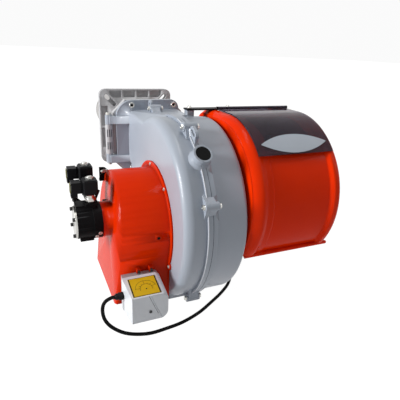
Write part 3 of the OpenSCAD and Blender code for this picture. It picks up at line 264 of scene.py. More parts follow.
# %% Edges
edge_group, g_in, g_out = new_group("edges", [("Vector", VECTOR, None), ("Color", COLOUR, (0.5, 0.5, 0.5, 1)),
    ("Worn", COLOUR, (0.7, 0.7, 0.7, 1)), ("Amount", NUMBER, 0.5), ("Radius", NUMBER, 0.001)],
    [("Color", COLOUR), ("Normal", VECTOR), ("Mask", NUMBER)])
rounded = edge_group.nodes.new("ShaderNodeBevel")
rounded.samples = 4
edge_group.links.new(g_in.outputs["Radius"], rounded.inputs["Radius"])
flat = edge_group.nodes.new("ShaderNodeNewGeometry")
compare = edge_group.nodes.new("ShaderNodeVectorMath")
compare.operation = "DOT_PRODUCT"
edge_group.links.new(rounded.outputs["Normal"], compare.inputs[0])
edge_group.links.new(flat.outputs["Normal"], compare.inputs[1])
chips = edge_group.nodes.new("ShaderNodeTexNoise")
chips.inputs["Scale"].default_value = 90.0
chips.inputs["Detail"].default_value = 5.0
edge_group.links.new(g_in.outputs["Vector"], chips.inputs["Vector"])
sharp = math_node(edge_group, "MULTIPLY", math_node(edge_group, "SUBTRACT", 1.0, compare.outputs["Value"]), 6.0,
                  clamp=True)
chipped = math_node(edge_group, "MULTIPLY", chips.outputs["Fac"], g_in.outputs["Amount"])
worn = math_node(edge_group, "MULTIPLY", sharp, chipped, clamp=True)
edge_group.links.new(mix_colour(edge_group, worn, g_in.outputs["Color"], g_in.outputs["Worn"]), g_out.inputs["Color"])
edge_group.links.new(rounded.outputs["Normal"], g_out.inputs["Normal"])
edge_group.links.new(worn, g_out.inputs["Mask"])

# %% [markdown]
# **Dust** settles where a surface faces up, broken by a cloud so that it never looks like a second coat of paint.

# %% Dust
dust_group, g_in, g_out = new_group("dust", [("Vector", VECTOR, None), ("Color", COLOUR, (0.5, 0.5, 0.5, 1)),
    ("Dust", COLOUR, (0.55, 0.53, 0.5, 1)), ("Amount", NUMBER, 0.2)], [("Color", COLOUR), ("Mask", NUMBER)])
facing = dust_group.nodes.new("ShaderNodeNewGeometry")
height = dust_group.nodes.new("ShaderNodeSeparateXYZ")
dust_group.links.new(facing.outputs["Normal"], height.inputs[0])
speck = dust_group.nodes.new("ShaderNodeTexNoise")
speck.inputs["Scale"].default_value = 35.0
speck.inputs["Detail"].default_value = 6.0
dust_group.links.new(g_in.outputs["Vector"], speck.inputs["Vector"])
upward = math_node(dust_group, "MULTIPLY", math_node(dust_group, "MAXIMUM", height.outputs["Z"], 0.0),
    math_node(dust_group, "MULTIPLY", speck.outputs["Fac"], g_in.outputs["Amount"]), clamp=True)
dust_group.links.new(mix_colour(dust_group, upward, g_in.outputs["Color"], g_in.outputs["Dust"]),
                     g_out.inputs["Color"])
dust_group.links.new(upward, g_out.inputs["Mask"])
print("shader groups:", [g.name for g in bpy.data.node_groups])


# %% [markdown]
# ## One recipe for all opaque finishes
# Every paint, plastic and metal here is the same chain: uneven tone, edge wear, dust, then grain in the normal.
# A finish is then a line of numbers, and the table below can be read as a list of what the burner is made of.

# %% Helpers for materials
BUMP_HEIGHT = 0.0006
DUST_ROUGHNESS = 0.4


def new_material(name):
    material = bpy.data.materials.new(name)
    material.use_nodes = True
    return material, material.node_tree, material.node_tree.nodes["Principled BSDF"]


def use(tree, group, **values):
    node = tree.nodes.new("ShaderNodeGroup")
    node.node_tree = group
    for label, value in values.items():
        socket = node.inputs[label]
        if isinstance(value, bpy.types.NodeSocket):
            tree.links.new(value, socket)
        elif isinstance(value, (int, float)):
            socket.default_value = value
        else:
            socket.default_value = (*value, 1.0)
    return node


def grain_normal(tree, place, scale, coarse, depth, under=None):
    """A normal roughened by the grain, on top of another normal if one is given."""
    skin = use(tree, grain_group, Vector=place, Scale=scale, Coarse=coarse)
    bump = tree.nodes.new("ShaderNodeBump")
    bump.inputs["Strength"].default_value = depth
    bump.inputs["Distance"].default_value = BUMP_HEIGHT
    tree.links.new(skin.outputs["Height"], bump.inputs["Height"])
    if under is not None:
        tree.links.new(under, bump.inputs["Normal"])
    return bump.outputs["Normal"]


# %% The finish recipe
def finish(name, base, second, rough, metal=0.0, coat=0.0, tone=12.0, grain=500.0, depth=0.15, coarse=0.5,
           worn=(0.6, 0.6, 0.6), wear=0.0, dust=0.0, radius=0.0008, spread=0.12, shine=0.5):
    material, tree, shader = new_material(name)
    place = tree.nodes.new("ShaderNodeTexCoord").outputs["Object"]
    tinted = use(tree, tone_group, Vector=place, First=base, Second=second, Scale=tone)
    edged = use(tree, edge_group, Vector=place, Color=tinted.outputs["Color"], Worn=worn, Amount=wear, Radius=radius)
    dusted = use(tree, dust_group, Vector=place, Color=edged.outputs["Color"], Amount=dust)
    tree.links.new(dusted.outputs["Color"], shader.inputs["Base Color"])
    tree.links.new(grain_normal(tree, place, grain, coarse, depth, edged.outputs["Normal"]), shader.inputs["Normal"])
    smear = tree.nodes.new("ShaderNodeTexNoise")
    smear.inputs["Scale"].default_value = tone * 1.7
    smear.inputs["Detail"].default_value = 5.0
    tree.links.new(place, smear.inputs["Vector"])
    polish = math_node(tree, "MULTIPLY_ADD", smear.outputs["Fac"], spread, rough - spread / 2)
    dull = math_node(tree, "MULTIPLY", dusted.outputs["Mask"], DUST_ROUGHNESS)
    tree.links.new(math_node(tree, "ADD", polish, dull, clamp=True), shader.inputs["Roughness"])
    shader.inputs["Metallic"].default_value = metal
    shader.inputs["Specular IOR Level"].default_value = shine
    shader.inputs["Coat Weight"].default_value = coat
    shader.inputs["Coat Roughness"].default_value = 0.04
    return material


# %% [markdown]
# **The finishes.** The grey housing has a smooth factory paint, the flange is bare sand-cast metal with a skin you
# can feel, the hood and the intake box have a deep gloss paint, and the small parts are zinc, black oxide or plastic.

# %% Table of finishes
GLOSS = {"coat": 0.07, "tone": 5, "grain": 130, "depth": 0.012, "coarse": 0.6, "wear": 0.12, "radius": 0.0016,
         "spread": 0.04, "shine": 0.02}
FINISHES = {
    "flange_grey": finish("cast flange", (0.53, 0.53, 0.545), (0.45, 0.45, 0.465), 0.55, metal=0.1, tone=14, grain=700,
        depth=0.30, coarse=1.2, worn=(0.6, 0.6, 0.6), wear=0.5, dust=0.2, radius=0.0022),
    "body_grey": finish("housing paint", (0.37, 0.41, 0.475), (0.345, 0.385, 0.445), 0.36, coat=0.06, tone=7, grain=420,
        depth=0.05, coarse=1.0, worn=(0.62, 0.64, 0.68), wear=0.25, dust=0.12, radius=0.0022),
    "zinc_steel": finish("zinc plate", (0.62, 0.62, 0.60), (0.50, 0.49, 0.45), 0.30, metal=1.0, tone=60, grain=900,
        depth=0.06, wear=0.3, worn=(0.75, 0.75, 0.74), dust=0.1, radius=0.0005),
    "tube_steel": finish("rolled steel", (0.55, 0.54, 0.53), (0.42, 0.40, 0.39), 0.34, metal=1.0, tone=16, grain=300,
        depth=0.05, dust=0.05, radius=0.0006),
    "brass": finish("turned brass", (0.70, 0.50, 0.20), (0.58, 0.40, 0.15), 0.28, metal=1.0, tone=80, radius=0.0004),
    "ceramic": finish("glazed ceramic", (0.86, 0.84, 0.79), (0.80, 0.78, 0.72), 0.18, coat=0.3, tone=60, depth=0.03),
    "fan_steel": finish("galvanised sheet", (0.58, 0.59, 0.60), (0.46, 0.47, 0.49), 0.36, metal=0.9, tone=70, grain=250,
        depth=0.06, dust=0.15, radius=0.0004),
    "machined_steel": finish("machined steel", (0.60, 0.60, 0.61), (0.52, 0.52, 0.53), 0.25, metal=1.0, tone=50,
        depth=0.05, radius=0.0005),
    "motor_grey": finish("motor paint", (0.28, 0.30, 0.33), (0.23, 0.25, 0.28), 0.5, tone=25, grain=500, depth=0.2,
        coarse=1.0, wear=0.3, dust=0.3, radius=0.001),
    "black_paint": finish("black paint", (0.006, 0.006, 0.007), (0.004, 0.004, 0.0045), 0.40, tone=25,
        grain=600, depth=0.07, worn=(0.10, 0.10, 0.10), wear=0.4, dust=0.01, radius=0.0009, shine=0.04),
    "black_screws": finish("black oxide", (0.035, 0.035, 0.036), (0.02, 0.02, 0.02), 0.36, metal=0.5, tone=90,
        depth=0.1, worn=(0.3, 0.3, 0.3), wear=0.5, radius=0.0005),
    "black_plastic": finish("black plastic", (0.008, 0.008, 0.010), (0.005, 0.005, 0.006), 0.46, tone=30, grain=1200,
        depth=0.12, worn=(0.06, 0.06, 0.06), wear=0.4, dust=0.01, radius=0.0008, shine=0.1),
    "black_rubber": finish("black rubber", (0.004, 0.004, 0.004), (0.003, 0.003, 0.003), 0.55, tone=30, grain=900,
        depth=0.15, dust=0.01, radius=0.0006, shine=0.07),
    "orange_paint": finish("gloss orange paint", (0.64, 0.025, 0.0004), (0.59, 0.020, 0.0003), 0.22,
        worn=(0.95, 0.10, 0.02), **GLOSS),
    # A lighter copy of the orange paint for the hood: painted light.
    "hood_orange_lit": finish("hood paint with painted light", (0.88, 0.034, 0.0004), (0.82, 0.028, 0.0003), 0.22,
        worn=(0.98, 0.12, 0.02), **GLOSS),
    "servo_grey": finish("pale grey plastic", (0.72, 0.75, 0.79), (0.67, 0.70, 0.74), 0.30, tone=20, grain=900,
        depth=0.05, worn=(0.7, 0.7, 0.72), wear=0.3, dust=0.1, radius=0.0016),
    "servo_base_grey": finish("cast servo base", (0.40, 0.42, 0.44), (0.33, 0.35, 0.37), 0.5, metal=0.2, tone=20,
        grain=700, depth=0.25, coarse=1.0, wear=0.4, radius=0.0012),
    "plate_yellow": finish("yellow plate", (0.70, 0.45, 0.007), (0.64, 0.40, 0.006), 0.45, tone=25, depth=0.03,
        radius=0.0003, shine=0.15),
    "leaf_grey": finish("leaf plate", (0.53, 0.575, 0.635), (0.50, 0.545, 0.605), 0.55, tone=9, grain=300,
        depth=0.05, radius=0.0004, shine=0.15),
    "box_red": finish("red housing", (0.40, 0.02, 0.015), (0.34, 0.016, 0.012), 0.35, tone=20, depth=0.05,
        radius=0.0012),
    # A pale paint for the painted highlight on the housing rim's rounded edge.
    "painted_rim_highlight": finish("painted rim highlight", (0.66, 0.68, 0.72), (0.60, 0.62, 0.66), 0.35, tone=30, depth=0.05),
    # One dark paint for the real joints and seams, and for the painted shade in the knuckle's grooves.
    "dark_joint_and_shade": finish("dark joint and painted shade", (0.10, 0.11, 0.13), (0.07, 0.08, 0.10), 0.6, tone=30, depth=0.05, shine=0.1),
    "label_ink": finish("label ink", (0.012, 0.011, 0.010), (0.02, 0.018, 0.012), 0.5, tone=200, depth=0.02, shine=0.1),
    "olive_cap": finish("olive plug cap", (0.30, 0.29, 0.10), (0.20, 0.20, 0.06), 0.3, tone=120, depth=0.05),
    "red_ring": finish("red sealing ring", (0.35, 0.02, 0.02), (0.28, 0.012, 0.012), 0.3, tone=60, depth=0.05),
    "button_red": finish("red button", (0.55, 0.012, 0.01), (0.5, 0.01, 0.009), 0.22, tone=40, depth=0.03),
}
print("finishes:", len(FINISHES))

# %% [markdown]
# ## Smoked window
# The flap over the panel is a clear, tinted plastic. Real glass would bend the view behind it, so a tinted
# transmission with a low index is used: dark, glossy, and still clear enough for the parts behind it to show.

# %% Smoked window
smoked, tree, shader = new_material("smoked window")
place = tree.nodes.new("ShaderNodeTexCoord").outputs["Object"]
tinted = use(tree, tone_group, Vector=place, First=(0.21, 0.185, 0.235), Second=(0.185, 0.155, 0.20), Scale=6.0)
tree.links.new(tinted.outputs["Color"], shader.inputs["Base Color"])
tree.links.new(grain_normal(tree, place, 60.0, 0.4, 0.02), shader.inputs["Normal"])
shader.inputs["Roughness"].default_value = 0.06
shader.inputs["Transmission Weight"].default_value = 0.85
shader.inputs["IOR"].default_value = 1.14
FINISHES["smoked_window"] = smoked

# %% [markdown]
# ## Skins on the CAD solids
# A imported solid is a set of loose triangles, so Blender shades each one flat. A copy whose corners are merged can
# be shaded smooth, with its real edges kept sharp by their angle. The copy then stands for the solid.


# %% Smooth copies
SKIN_ANGLE = 24
MERGE_DISTANCE = 2e-6


def merged_copy(node, name):
    mesh = frame["nodes"][node].data.copy()
    mesh.name = name
    form = bmesh.new()
    form.from_mesh(mesh)
    bmesh.ops.remove_doubles(form, verts=form.verts, dist=MERGE_DISTANCE)
    form.to_mesh(mesh)
    form.free()
    return add_object(name, mesh)


def stand_for(piece, node):
    piece.data.materials.clear()
    piece.data.materials.append(FINISHES[slot_of[node]])
    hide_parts(node)
    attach(piece, body_of[node])


def skin_over(node):
    piece = merged_copy(node, node + "_skin")
    smooth_below(piece.data, SKIN_ANGLE)
    even = piece.modifiers.new("even shading", "WEIGHTED_NORMAL")
    even.keep_sharp = True
    even.weight = 80
    shaded = made_plain(piece)
    piece.modifiers.clear()
    piece.data = shaded
    stand_for(piece, node)
    return piece


def replace_skin(piece, node):
    """A better piece takes the place of a node's plain skin."""
    stand_for(piece, node)
    bpy.data.objects.remove(skins.pop(node))


skins = {node: skin_over(node) for node in frame["nodes"] if node not in cables}
for node, flex in cables.items():
    flex.data.materials.append(FINISHES[slot_of[node]])
print("skins:", len(skins))

# %% [markdown]
# ## Screws, bolts and nuts
# The solids carry each fastener as a plain hexagon or rod. A real head has a chamfer, a socket or a cross, and a
# washer. One turned outline makes a head: some of its rings are round and some are pulled out to a hexagon. A
# Geometry Nodes tree then puts a copy at each place, and its copies are made real because the export drops instances.


# %% Turned heads
def lathe(name, rings, sides=36):
    """A closed turned form from (radius, height, corners) rings, whose axis is Z. Corners is 0 for a round ring."""
    form = bmesh.new()
    loops = []
    for radius, height, corners in rings:
        loop = []
        for i in range(sides):
            a = 2 * math.pi * i / sides
            r = radius
            if corners:
                half = math.pi / corners
                r = radius * math.cos(half) / math.cos((a % (2 * half)) - half)
            loop.append(form.verts.new((r * math.cos(a), r * math.sin(a), height)))
        loops.append(loop)
    for one, two in zip(loops, loops[1:]):
        for i in range(sides):
            j = (i + 1) % sides
            form.faces.new((one[i], one[j], two[j], two[i]))
    form.faces.new(loops[0][::-1])
    form.faces.new(loops[-1])
    return closed_mesh(form, name)


def islands(node):
    """The low and high corners of each separate solid in a node."""
    copy = merged_copy(node, "islands")
    form = bmesh.new()
    form.from_mesh(copy.data)
    left, found = set(form.verts), []
    while left:
        group, todo = [], [left.pop()]
        while todo:
            vert = todo.pop()
            group.append(vert.co.copy())
            for edge in vert.link_edges:
                other = edge.other_vert(vert)
                if other in left:
                    left.remove(other)
                    todo.append(other)
        found.append((Vector(map(min, zip(*group))), Vector(map(max, zip(*group)))))
    form.free()
    bpy.data.objects.remove(copy)
    return sorted(found, key=lambda box: tuple(round(v, 5) for v in box[0]))


# %% The tree that places copies
place_tree = bpy.data.node_groups.new("a copy at each place", "GeometryNodeTree")
for label, kind, way in (("Places", "NodeSocketGeometry", "INPUT"), ("Part", "NodeSocketObject", "INPUT"),
                         ("Finish", "NodeSocketMaterial", "INPUT"), ("Copies", "NodeSocketGeometry", "OUTPUT")):
    place_tree.interface.new_socket(name=label, in_out=way, socket_type=kind)
given = place_tree.nodes.new("NodeGroupInput")
result = place_tree.nodes.new("NodeGroupOutput")
part = place_tree.nodes.new("GeometryNodeObjectInfo")
turned_by = place_tree.nodes.new("GeometryNodeInputNamedAttribute")
turned_by.data_type = "FLOAT_VECTOR"
turned_by.inputs["Name"].default_value = "turn"
to_rotation = place_tree.nodes.new("FunctionNodeEulerToRotation")
copies = place_tree.nodes.new("GeometryNodeInstanceOnPoints")
real = place_tree.nodes.new("GeometryNodeRealizeInstances")
painted = place_tree.nodes.new("GeometryNodeSetMaterial")
for a, b in ((given.outputs["Places"], copies.inputs["Points"]), (given.outputs["Part"], part.inputs["Object"]),
             (part.outputs["Geometry"], copies.inputs["Instance"]),
             (turned_by.outputs["Attribute"], to_rotation.inputs["Euler"]),
             (to_rotation.outputs["Rotation"], copies.inputs["Rotation"]),
             (copies.outputs["Instances"], real.inputs["Geometry"]),
             (real.outputs["Geometry"], painted.inputs["Geometry"]),
             (given.outputs["Finish"], painted.inputs["Material"]),
             (painted.outputs["Geometry"], result.inputs["Copies"])):
    place_tree.links.new(a, b)


HEAD_ANGLE = 30
TURN_STEP = 0.7


def run_tree(obj, tree, **values):
    """Run a Geometry Nodes tree on an object, with values for its named inputs, and keep the plain mesh."""
    steps = obj.modifiers.new(tree.name, "NODES")
    steps.node_group = tree
    sockets = {item.name: item.identifier for item in tree.interface.items_tree if item.in_out == "INPUT"}
    for label, value in values.items():
        steps[sockets[label]] = value
    solid = made_plain(obj)
    obj.modifiers.clear()
    obj.data = solid
    return solid


def copies_of(name, mesh, places, direction, material):
    """A plain mesh with a copy of mesh at each place, its Z axis along the direction, each turned a little more."""
    points = bpy.data.meshes.new(name)
    points.from_pydata([tuple(p) for p in places], [], [])
    turns = points.attributes.new("turn", "FLOAT_VECTOR", "POINT")
    for i in range(len(places)):
        turn = Vector(direction).to_track_quat("Z", "Y") @ Matrix.Rotation(TURN_STEP * i, 3, "Z").to_quaternion()
        turns.data[i].vector = turn.to_euler()
    made = add_object(name, points)
    pattern = add_object(name + "_part", mesh)
    solid = run_tree(made, place_tree, Part=pattern, Finish=material)
    smooth_below(solid, HEAD_ANGLE)
    bpy.data.objects.remove(pattern)
    print(name, "has", len(places), "copies and", len(solid.polygons), "faces")
    return made


# %% [markdown]
# **Seam screws** clamp the two housing halves at six lugs: a hexagon head at the left, a nut at the right.

# %% Seam screws
MM = 0.001
LEFT, FRONT, UP = (-1, 0, 0), (0, -1, 0), (0, 0, 1)


def rings_mm(rings):
    return [(r * MM, z * MM, c) for r, z, c in rings]


def left_ends(boxes, inset):
    """A place on each box's long middle line, the inset in millimetres from its left end."""
    return [(lo.x + inset * MM, (lo.y + hi.y) / 2, (lo.z + hi.z) / 2) for lo, hi in boxes]


seam_screw = lathe("seam screw", rings_mm([(3.0, -41.5, 0), (4.0, -40.9, 0), (6.6, -41.0, 0), (7.5, -40.2, 6),
    (7.5, -35.8, 6), (7.4, -35.2, 0), (7.4, -35.0, 0), (4, -35, 0), (4, 0, 0), (6.4, 0, 0), (6.4, 0.6, 0),
    (6.5, 0.9, 6), (6.5, 4.3, 6), (5.5, 5.0, 0), (3.6, 5.0, 0), (3.2, 4.7, 0)]))
screws = copies_of("seam_screw_set", seam_screw, left_ends(islands("seam_screws"), 5), LEFT, FINISHES["zinc_steel"])
replace_skin(screws, "seam_screws")

# %% [markdown]
# ** Back plate screws** have round heads with a deep six-sided socket, which looks black: a black fill in it is painted shade.

# %% Back plate screws
seats = [((lo.x + hi.x) / 2, lo.y + 5 * MM, (lo.z + hi.z) / 2) for lo, hi in islands("back_plate_screws")]
cap_screw = lathe("cap screw", rings_mm([(6, -14.4, 0), (6, 0, 0), (8.4, 0, 0), (8.7, 0.4, 0), (8.7, 4.2, 0),
    (8.0, 5.0, 0), (5.6, 5.0, 0), (5.0, 4.5, 6), (5.0, 0.9, 6), (2.0, 0.4, 0)]))
back_heads = copies_of("back_plate_screw_set", cap_screw, seats, FRONT, FINISHES["zinc_steel"])
replace_skin(back_heads, "back_plate_screws")
# The black fill sits in each socket's hollow: painted shade, where the real socket is dark with shade.
shade_in_socket = lathe("shade in socket", rings_mm([(4.3, 0.9, 6), (4.3, 3.4, 6), (3.6, 3.8, 0)]))
socket_shade_fills = copies_of("back_plate_socket_caps", shade_in_socket, seats, FRONT, FINISHES["black_rubber"])
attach(socket_shade_fills, body_of["back_plate_screws"])

# %% [markdown]
# **Pan heads with a cross** hold the intake box's ring and the valve plugs. The cross is four notches cut into a
# domed head, made by lowering every second group of its inner points.


# %% Cross heads
def cross_head(name, radius, height, shank, length):
    """A domed head with a cross, its seat at zero and its shank below."""
    mesh = lathe(name, [(shank, -length, 0), (shank, 0, 0), (radius, 0, 0), (radius, height * 0.35, 0),
        (radius * 0.9, height * 0.75, 0), (radius * 0.62, height, 0), (radius * 0.6, height, 0),
        (radius * 0.35, height * 1.02, 0), (radius * 0.16, height * 1.02, 0)], sides=32)
    for vert in mesh.vertices:
        r = math.hypot(vert.co.x, vert.co.y)
        a = math.degrees(math.atan2(vert.co.y, vert.co.x)) % 90
        near = min(a, 90 - a) < 12
        if vert.co.z > height * 0.9 and ((near and r < radius * 0.61) or r < radius * 0.2):
            vert.co.z = height * 0.45
    return mesh


ring_heads = copies_of("intake_screw_set", cross_head("ring screw", 4.75 * MM, 3 * MM, 2.5 * MM, 4 * MM),
    left_ends(islands("intake_screws"), 3), LEFT, FINISHES["zinc_steel"])
replace_skin(ring_heads, "intake_screws")

plug_boxes = islands("valve_connectors")
plug_heads = copies_of("valve_plug_screws", cross_head("plug screw", 3.4 * MM, 1.2 * MM, 1.5 * MM, 1 * MM),
    [(lo.x + 1.6 * MM, (lo.y + hi.y) / 2, hi.z - 11 * MM) for lo, hi in plug_boxes], LEFT, FINISHES["zinc_steel"])
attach(plug_heads, body_of["valve_connectors"])

# %% [markdown]
# **Pump bolts** are black socket heads.

# %% Pump bolts
pump_bolt = lathe("pump bolt", rings_mm([(3, -5, 0), (3, 0, 0), (4.8, 0, 0), (5, 0.3, 0), (5, 5.4, 0), (4.4, 6, 0),
    (3.1, 6, 0), (2.8, 5.7, 6), (2.8, 2.5, 6), (1, 2.2, 0)]))
bolts = copies_of("pump_bolt_set", pump_bolt, left_ends(islands("pump_screws"), 6), LEFT, FINISHES["black_screws"])
replace_skin(bolts, "pump_screws")

# %% [markdown]
# ## Seam of the housing
# The rim where the two halves meet has a painted highlight along its left corner, a pale line that stands in for the
# light on its rounded edge, and a fine dark line along its middle, where the halves join. Both follow the rim's circle,
# so one tree sweeps a small round profile along an arc: its radius, start, sweep and thickness are inputs.

# %% The tree that sweeps along an arc
arc_tree = bpy.data.node_groups.new("a line along an arc", "GeometryNodeTree")
arc_tree.interface.new_socket(name="Line", in_out="OUTPUT", socket_type="NodeSocketGeometry")
for label, kind in (("Radius", "NodeSocketFloat"), ("Start", "NodeSocketFloat"), ("Sweep", "NodeSocketFloat"),
                    ("Thickness", "NodeSocketFloat"), ("Finish", "NodeSocketMaterial")):
    arc_tree.interface.new_socket(name=label, in_out="INPUT", socket_type=kind)
given = arc_tree.nodes.new("NodeGroupInput")
result = arc_tree.nodes.new("NodeGroupOutput")
path = arc_tree.nodes.new("GeometryNodeCurveArc")
path.mode = "RADIUS"
path.inputs["Resolution"].default_value = 180
profile = arc_tree.nodes.new("GeometryNodeCurvePrimitiveCircle")
profile.inputs["Resolution"].default_value = 12
sweep = arc_tree.nodes.new("GeometryNodeCurveToMesh")
sweep.inputs["Fill Caps"].default_value = True
real = arc_tree.nodes.new("GeometryNodeRealizeInstances")
painted = arc_tree.nodes.new("GeometryNodeSetMaterial")
for a, b in ((given.outputs["Radius"], path.inputs["Radius"]), (given.outputs["Start"], path.inputs["Start Angle"]),
             (given.outputs["Sweep"], path.inputs["Sweep Angle"]),
             (given.outputs["Thickness"], profile.inputs["Radius"]),
             (path.outputs["Curve"], sweep.inputs["Curve"]), (profile.outputs["Curve"], sweep.inputs["Profile Curve"]),
             (sweep.outputs["Mesh"], real.inputs["Geometry"]), (real.outputs["Geometry"], painted.inputs["Geometry"]),
             (given.outputs["Finish"], painted.inputs["Material"]),
             (painted.outputs["Geometry"], result.inputs["Line"])):
    arc_tree.links.new(a, b)

# %% Painted rim highlight and joint
SHAFT = Vector((-0.020, -0.456, -0.143))
RIM_START, RIM_STOP = 97, 296
RIM_ANGLE = 40


def signed_volume(mesh):
    """Positive when the faces of a closed mesh point outwards."""
    total = 0.0
    for face in mesh.polygons:
        corners = [mesh.vertices[i].co for i in face.vertices]
        for b, c in zip(corners[1:], corners[2:]):
            total += corners[0].dot(b.cross(c))
    return total


def rim_line(name, x, radius, thickness, material):
    """A line round the fan's shaft at x, from the back, over the top, to the front."""
    holder = add_object(name, bpy.data.meshes.new(name))
    solid = run_tree(holder, arc_tree, Radius=radius, Start=math.radians(RIM_START),
                     Sweep=math.radians(RIM_STOP - RIM_START), Thickness=thickness, Finish=material)
    for vert in solid.vertices:
        along, up, out = vert.co
        vert.co = SHAFT + Vector((x + out, along, up))
    if signed_volume(solid) < 0:
        solid.flip_normals()
    smooth_below(solid, RIM_ANGLE)
    print(name, "has", len(solid.polygons), "faces")
    return holder


# The pale line is a painted highlight on the rim's left edge; the dark line is the joint between the halves.
for name, x, radius, thickness, finish_name in (("rim_bead", 0.0008, 0.2524, 0.0013, "painted_rim_highlight"),
                                                ("rim_joint", 0.0130, 0.2526, 0.0007, "dark_joint_and_shade")):
    rim = rim_line(name, x, radius, thickness, FINISHES[finish_name])
    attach(rim, body_of["housing_right"])

# %% [markdown]
# ## Damper motor
# Its yellow plate has a black border and a plain dial: two arcs with marks and a pivot screw. The print is a thin
# raised ink, laid out in millimetres on the plate's own plane, which is read from the solid's upper face.

# %% The plate's own plane
plate = merged_copy("servo_plate", "plate_corners")
upper = max(plate.data.polygons, key=lambda face: face.normal.z * face.area)
plate_up = upper.normal.copy()
level = plate_up.dot(plate.data.vertices[upper.vertices[0]].co)
corners = [v.co.copy() for v in plate.data.vertices if abs(plate_up.dot(v.co) - level) < 1e-5]
bpy.data.objects.remove(plate)
back_left = min(corners, key=lambda c: (round(c.x, 4), -c.y))
plate_across = Vector((1, 0, 0))
plate_down = plate_across.cross(plate_up) if plate_across.cross(plate_up).y < 0 else plate_up.cross(plate_across)
plate_w = (max(c.x for c in corners) - back_left.x) / MM
plate_h = max((c - back_left).dot(plate_down) for c in corners) / MM
print("plate", round(plate_w, 1), "by", round(plate_h, 1), "mm")


def on_plate(across, down, lift):
    return back_left + (plate_across * across + plate_down * down + plate_up * lift) * MM


# %% [markdown]
# Every line of the print is a flat outline raised into a thin solid. The outlines are bars, strokes and arcs made of
# short strokes, and a place function says where a point across, down and above its plane lies.


# %% Raised outlines
def raise_outline(form, outline, place, low, high):
    """Add a thin solid from a ring of (across, down) points, from low to high above the plane."""
    under = [form.verts.new(place(a, d, low)) for a, d in outline]
    over = [form.verts.new(place(a, d, high)) for a, d in outline]
    for i in range(len(outline)):
        j = (i + 1) % len(outline)
        form.faces.new((under[i], under[j], over[j], over[i]))
    form.faces.new(under[::-1])
    form.faces.new(over)


def solids(form, name, finish_name):
    mesh = closed_mesh(form, name)
    mesh.materials.append(FINISHES[finish_name])
    return add_object(name, mesh)


def raised(outlines, name, place, finish_name, high):
    form = bmesh.new()
    for outline in outlines:
        raise_outline(form, outline, place, -0.05, high)
    return solids(form, name, finish_name)


def bar(a0, d0, a1, d1):
    return [(a0, d0), (a1, d0), (a1, d1), (a0, d1)]


def stroke(a0, d0, a1, d1, width):
    length = math.hypot(a1 - a0, d1 - d0)
    sa, sd = -(d1 - d0) / length * width / 2, (a1 - a0) / length * width / 2
    return [(a0 + sa, d0 + sd), (a1 + sa, d1 + sd), (a1 - sa, d1 - sd), (a0 - sa, d0 - sd)]


# %% Print on the yellow plate
INNER, SHORT_MARK, OUTER, PIVOT = 15, 19, 26, 1.7
pivot_a, pivot_d = plate_w * 0.54, plate_h * 0.66


def on_dial(turn, radius):
    return pivot_a + radius * math.cos(turn), pivot_d + radius * math.sin(turn)


def dial_arc(radius, start, stop, width, count=18):
    turns = [math.radians(start + (stop - start) * k / count) for k in range(count + 1)]
    return [stroke(*on_dial(t0, radius), *on_dial(t1, radius), width) for t0, t1 in zip(turns, turns[1:])]


print_shapes = [bar(0.2, 0.2, 3.2, plate_h - 0.2), bar(plate_w - 3.0, 0.2, plate_w - 0.2, plate_h - 0.2),
                bar(3.2, 0.2, plate_w - 3.0, 1.3), bar(3.2, plate_h - 1.3, plate_w - 3.0, plate_h - 0.2)]
print_shapes += dial_arc(INNER, 165, 375, 0.8) + dial_arc(OUTER, 185, 345, 0.7)
for k in range(7):
    turn = math.radians(190 + 25 * k)
    print_shapes.append(stroke(*on_dial(turn, INNER), *on_dial(turn, SHORT_MARK if k % 3 else OUTER), 0.7))
print_shapes.append([on_dial(k * math.pi / 6, PIVOT) for k in range(12)])
plate_print = raised(print_shapes, "servo_plate_print", on_plate, "label_ink", high=0.12)
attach(plate_print, body_of["servo_plate"])

# %% [markdown]
# The hinge's knuckle has two groups of grooves. Their floors are in deep shade on the real casting, so a dark strip
# of painted shade lies in each one, just under the knuckle's surface.

# %% Painted shade in the knuckle's grooves
HINGE = Vector((-0.135, -0.191, -0.005))
GROOVE_FLOOR, GROOVE_TOP = 7.9, 10.2


def in_groove(turn, up):
    """The plane of a groove: turned round the hinge's pin, at a height above its middle."""
    outward = Vector((math.sin(turn), -math.cos(turn), 0))
    sideways = Vector((math.cos(turn), math.sin(turn), 0))
    return lambda a, d, lift: HINGE + outward * (lift * MM) + sideways * (a * MM) + Vector((0, 0, (up + d) * MM))


knuckle_shade_form = bmesh.new()
for up in (-20, 20):
    for degrees in (-34, 0, 34):
        raise_outline(knuckle_shade_form, bar(-1.6, -11.8, 1.6, 11.8), in_groove(math.radians(degrees), up),
                      GROOVE_FLOOR, GROOVE_TOP)
# The dark strips are painted shade on the floors of the grooves.
knuckle_strips = solids(knuckle_shade_form, "knuckle_strips", "dark_joint_and_shade")
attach(knuckle_strips, body_of["head_plate"])

# %% [markdown]
# A fine seam runs down the front of the case, where its cover snaps on.

# %% Seam of the damper motor's case
front_y = min(v.co.y for v in frame["nodes"]["servo_case"].data.vertices)


def on_case(across, down, lift):
    return Vector((SHAFT.x + across * MM, front_y - lift * MM, SHAFT.z + down * MM))


seam_stroke = stroke(-136.2, -120.3, -112.6, -175.0, 0.9)
case_seam = raised([seam_stroke], "servo_case_seam", on_case, "dark_joint_and_shade", high=0.1)
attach(case_seam, body_of["servo_case"])

# %% [markdown]
# ## Valve details
# Each plug has an olive inspection cap with a screw at its end, each valve a red ring under its coil, and the
# bracket two nuts. They are small, but they are what tells the valves from plain black blocks.

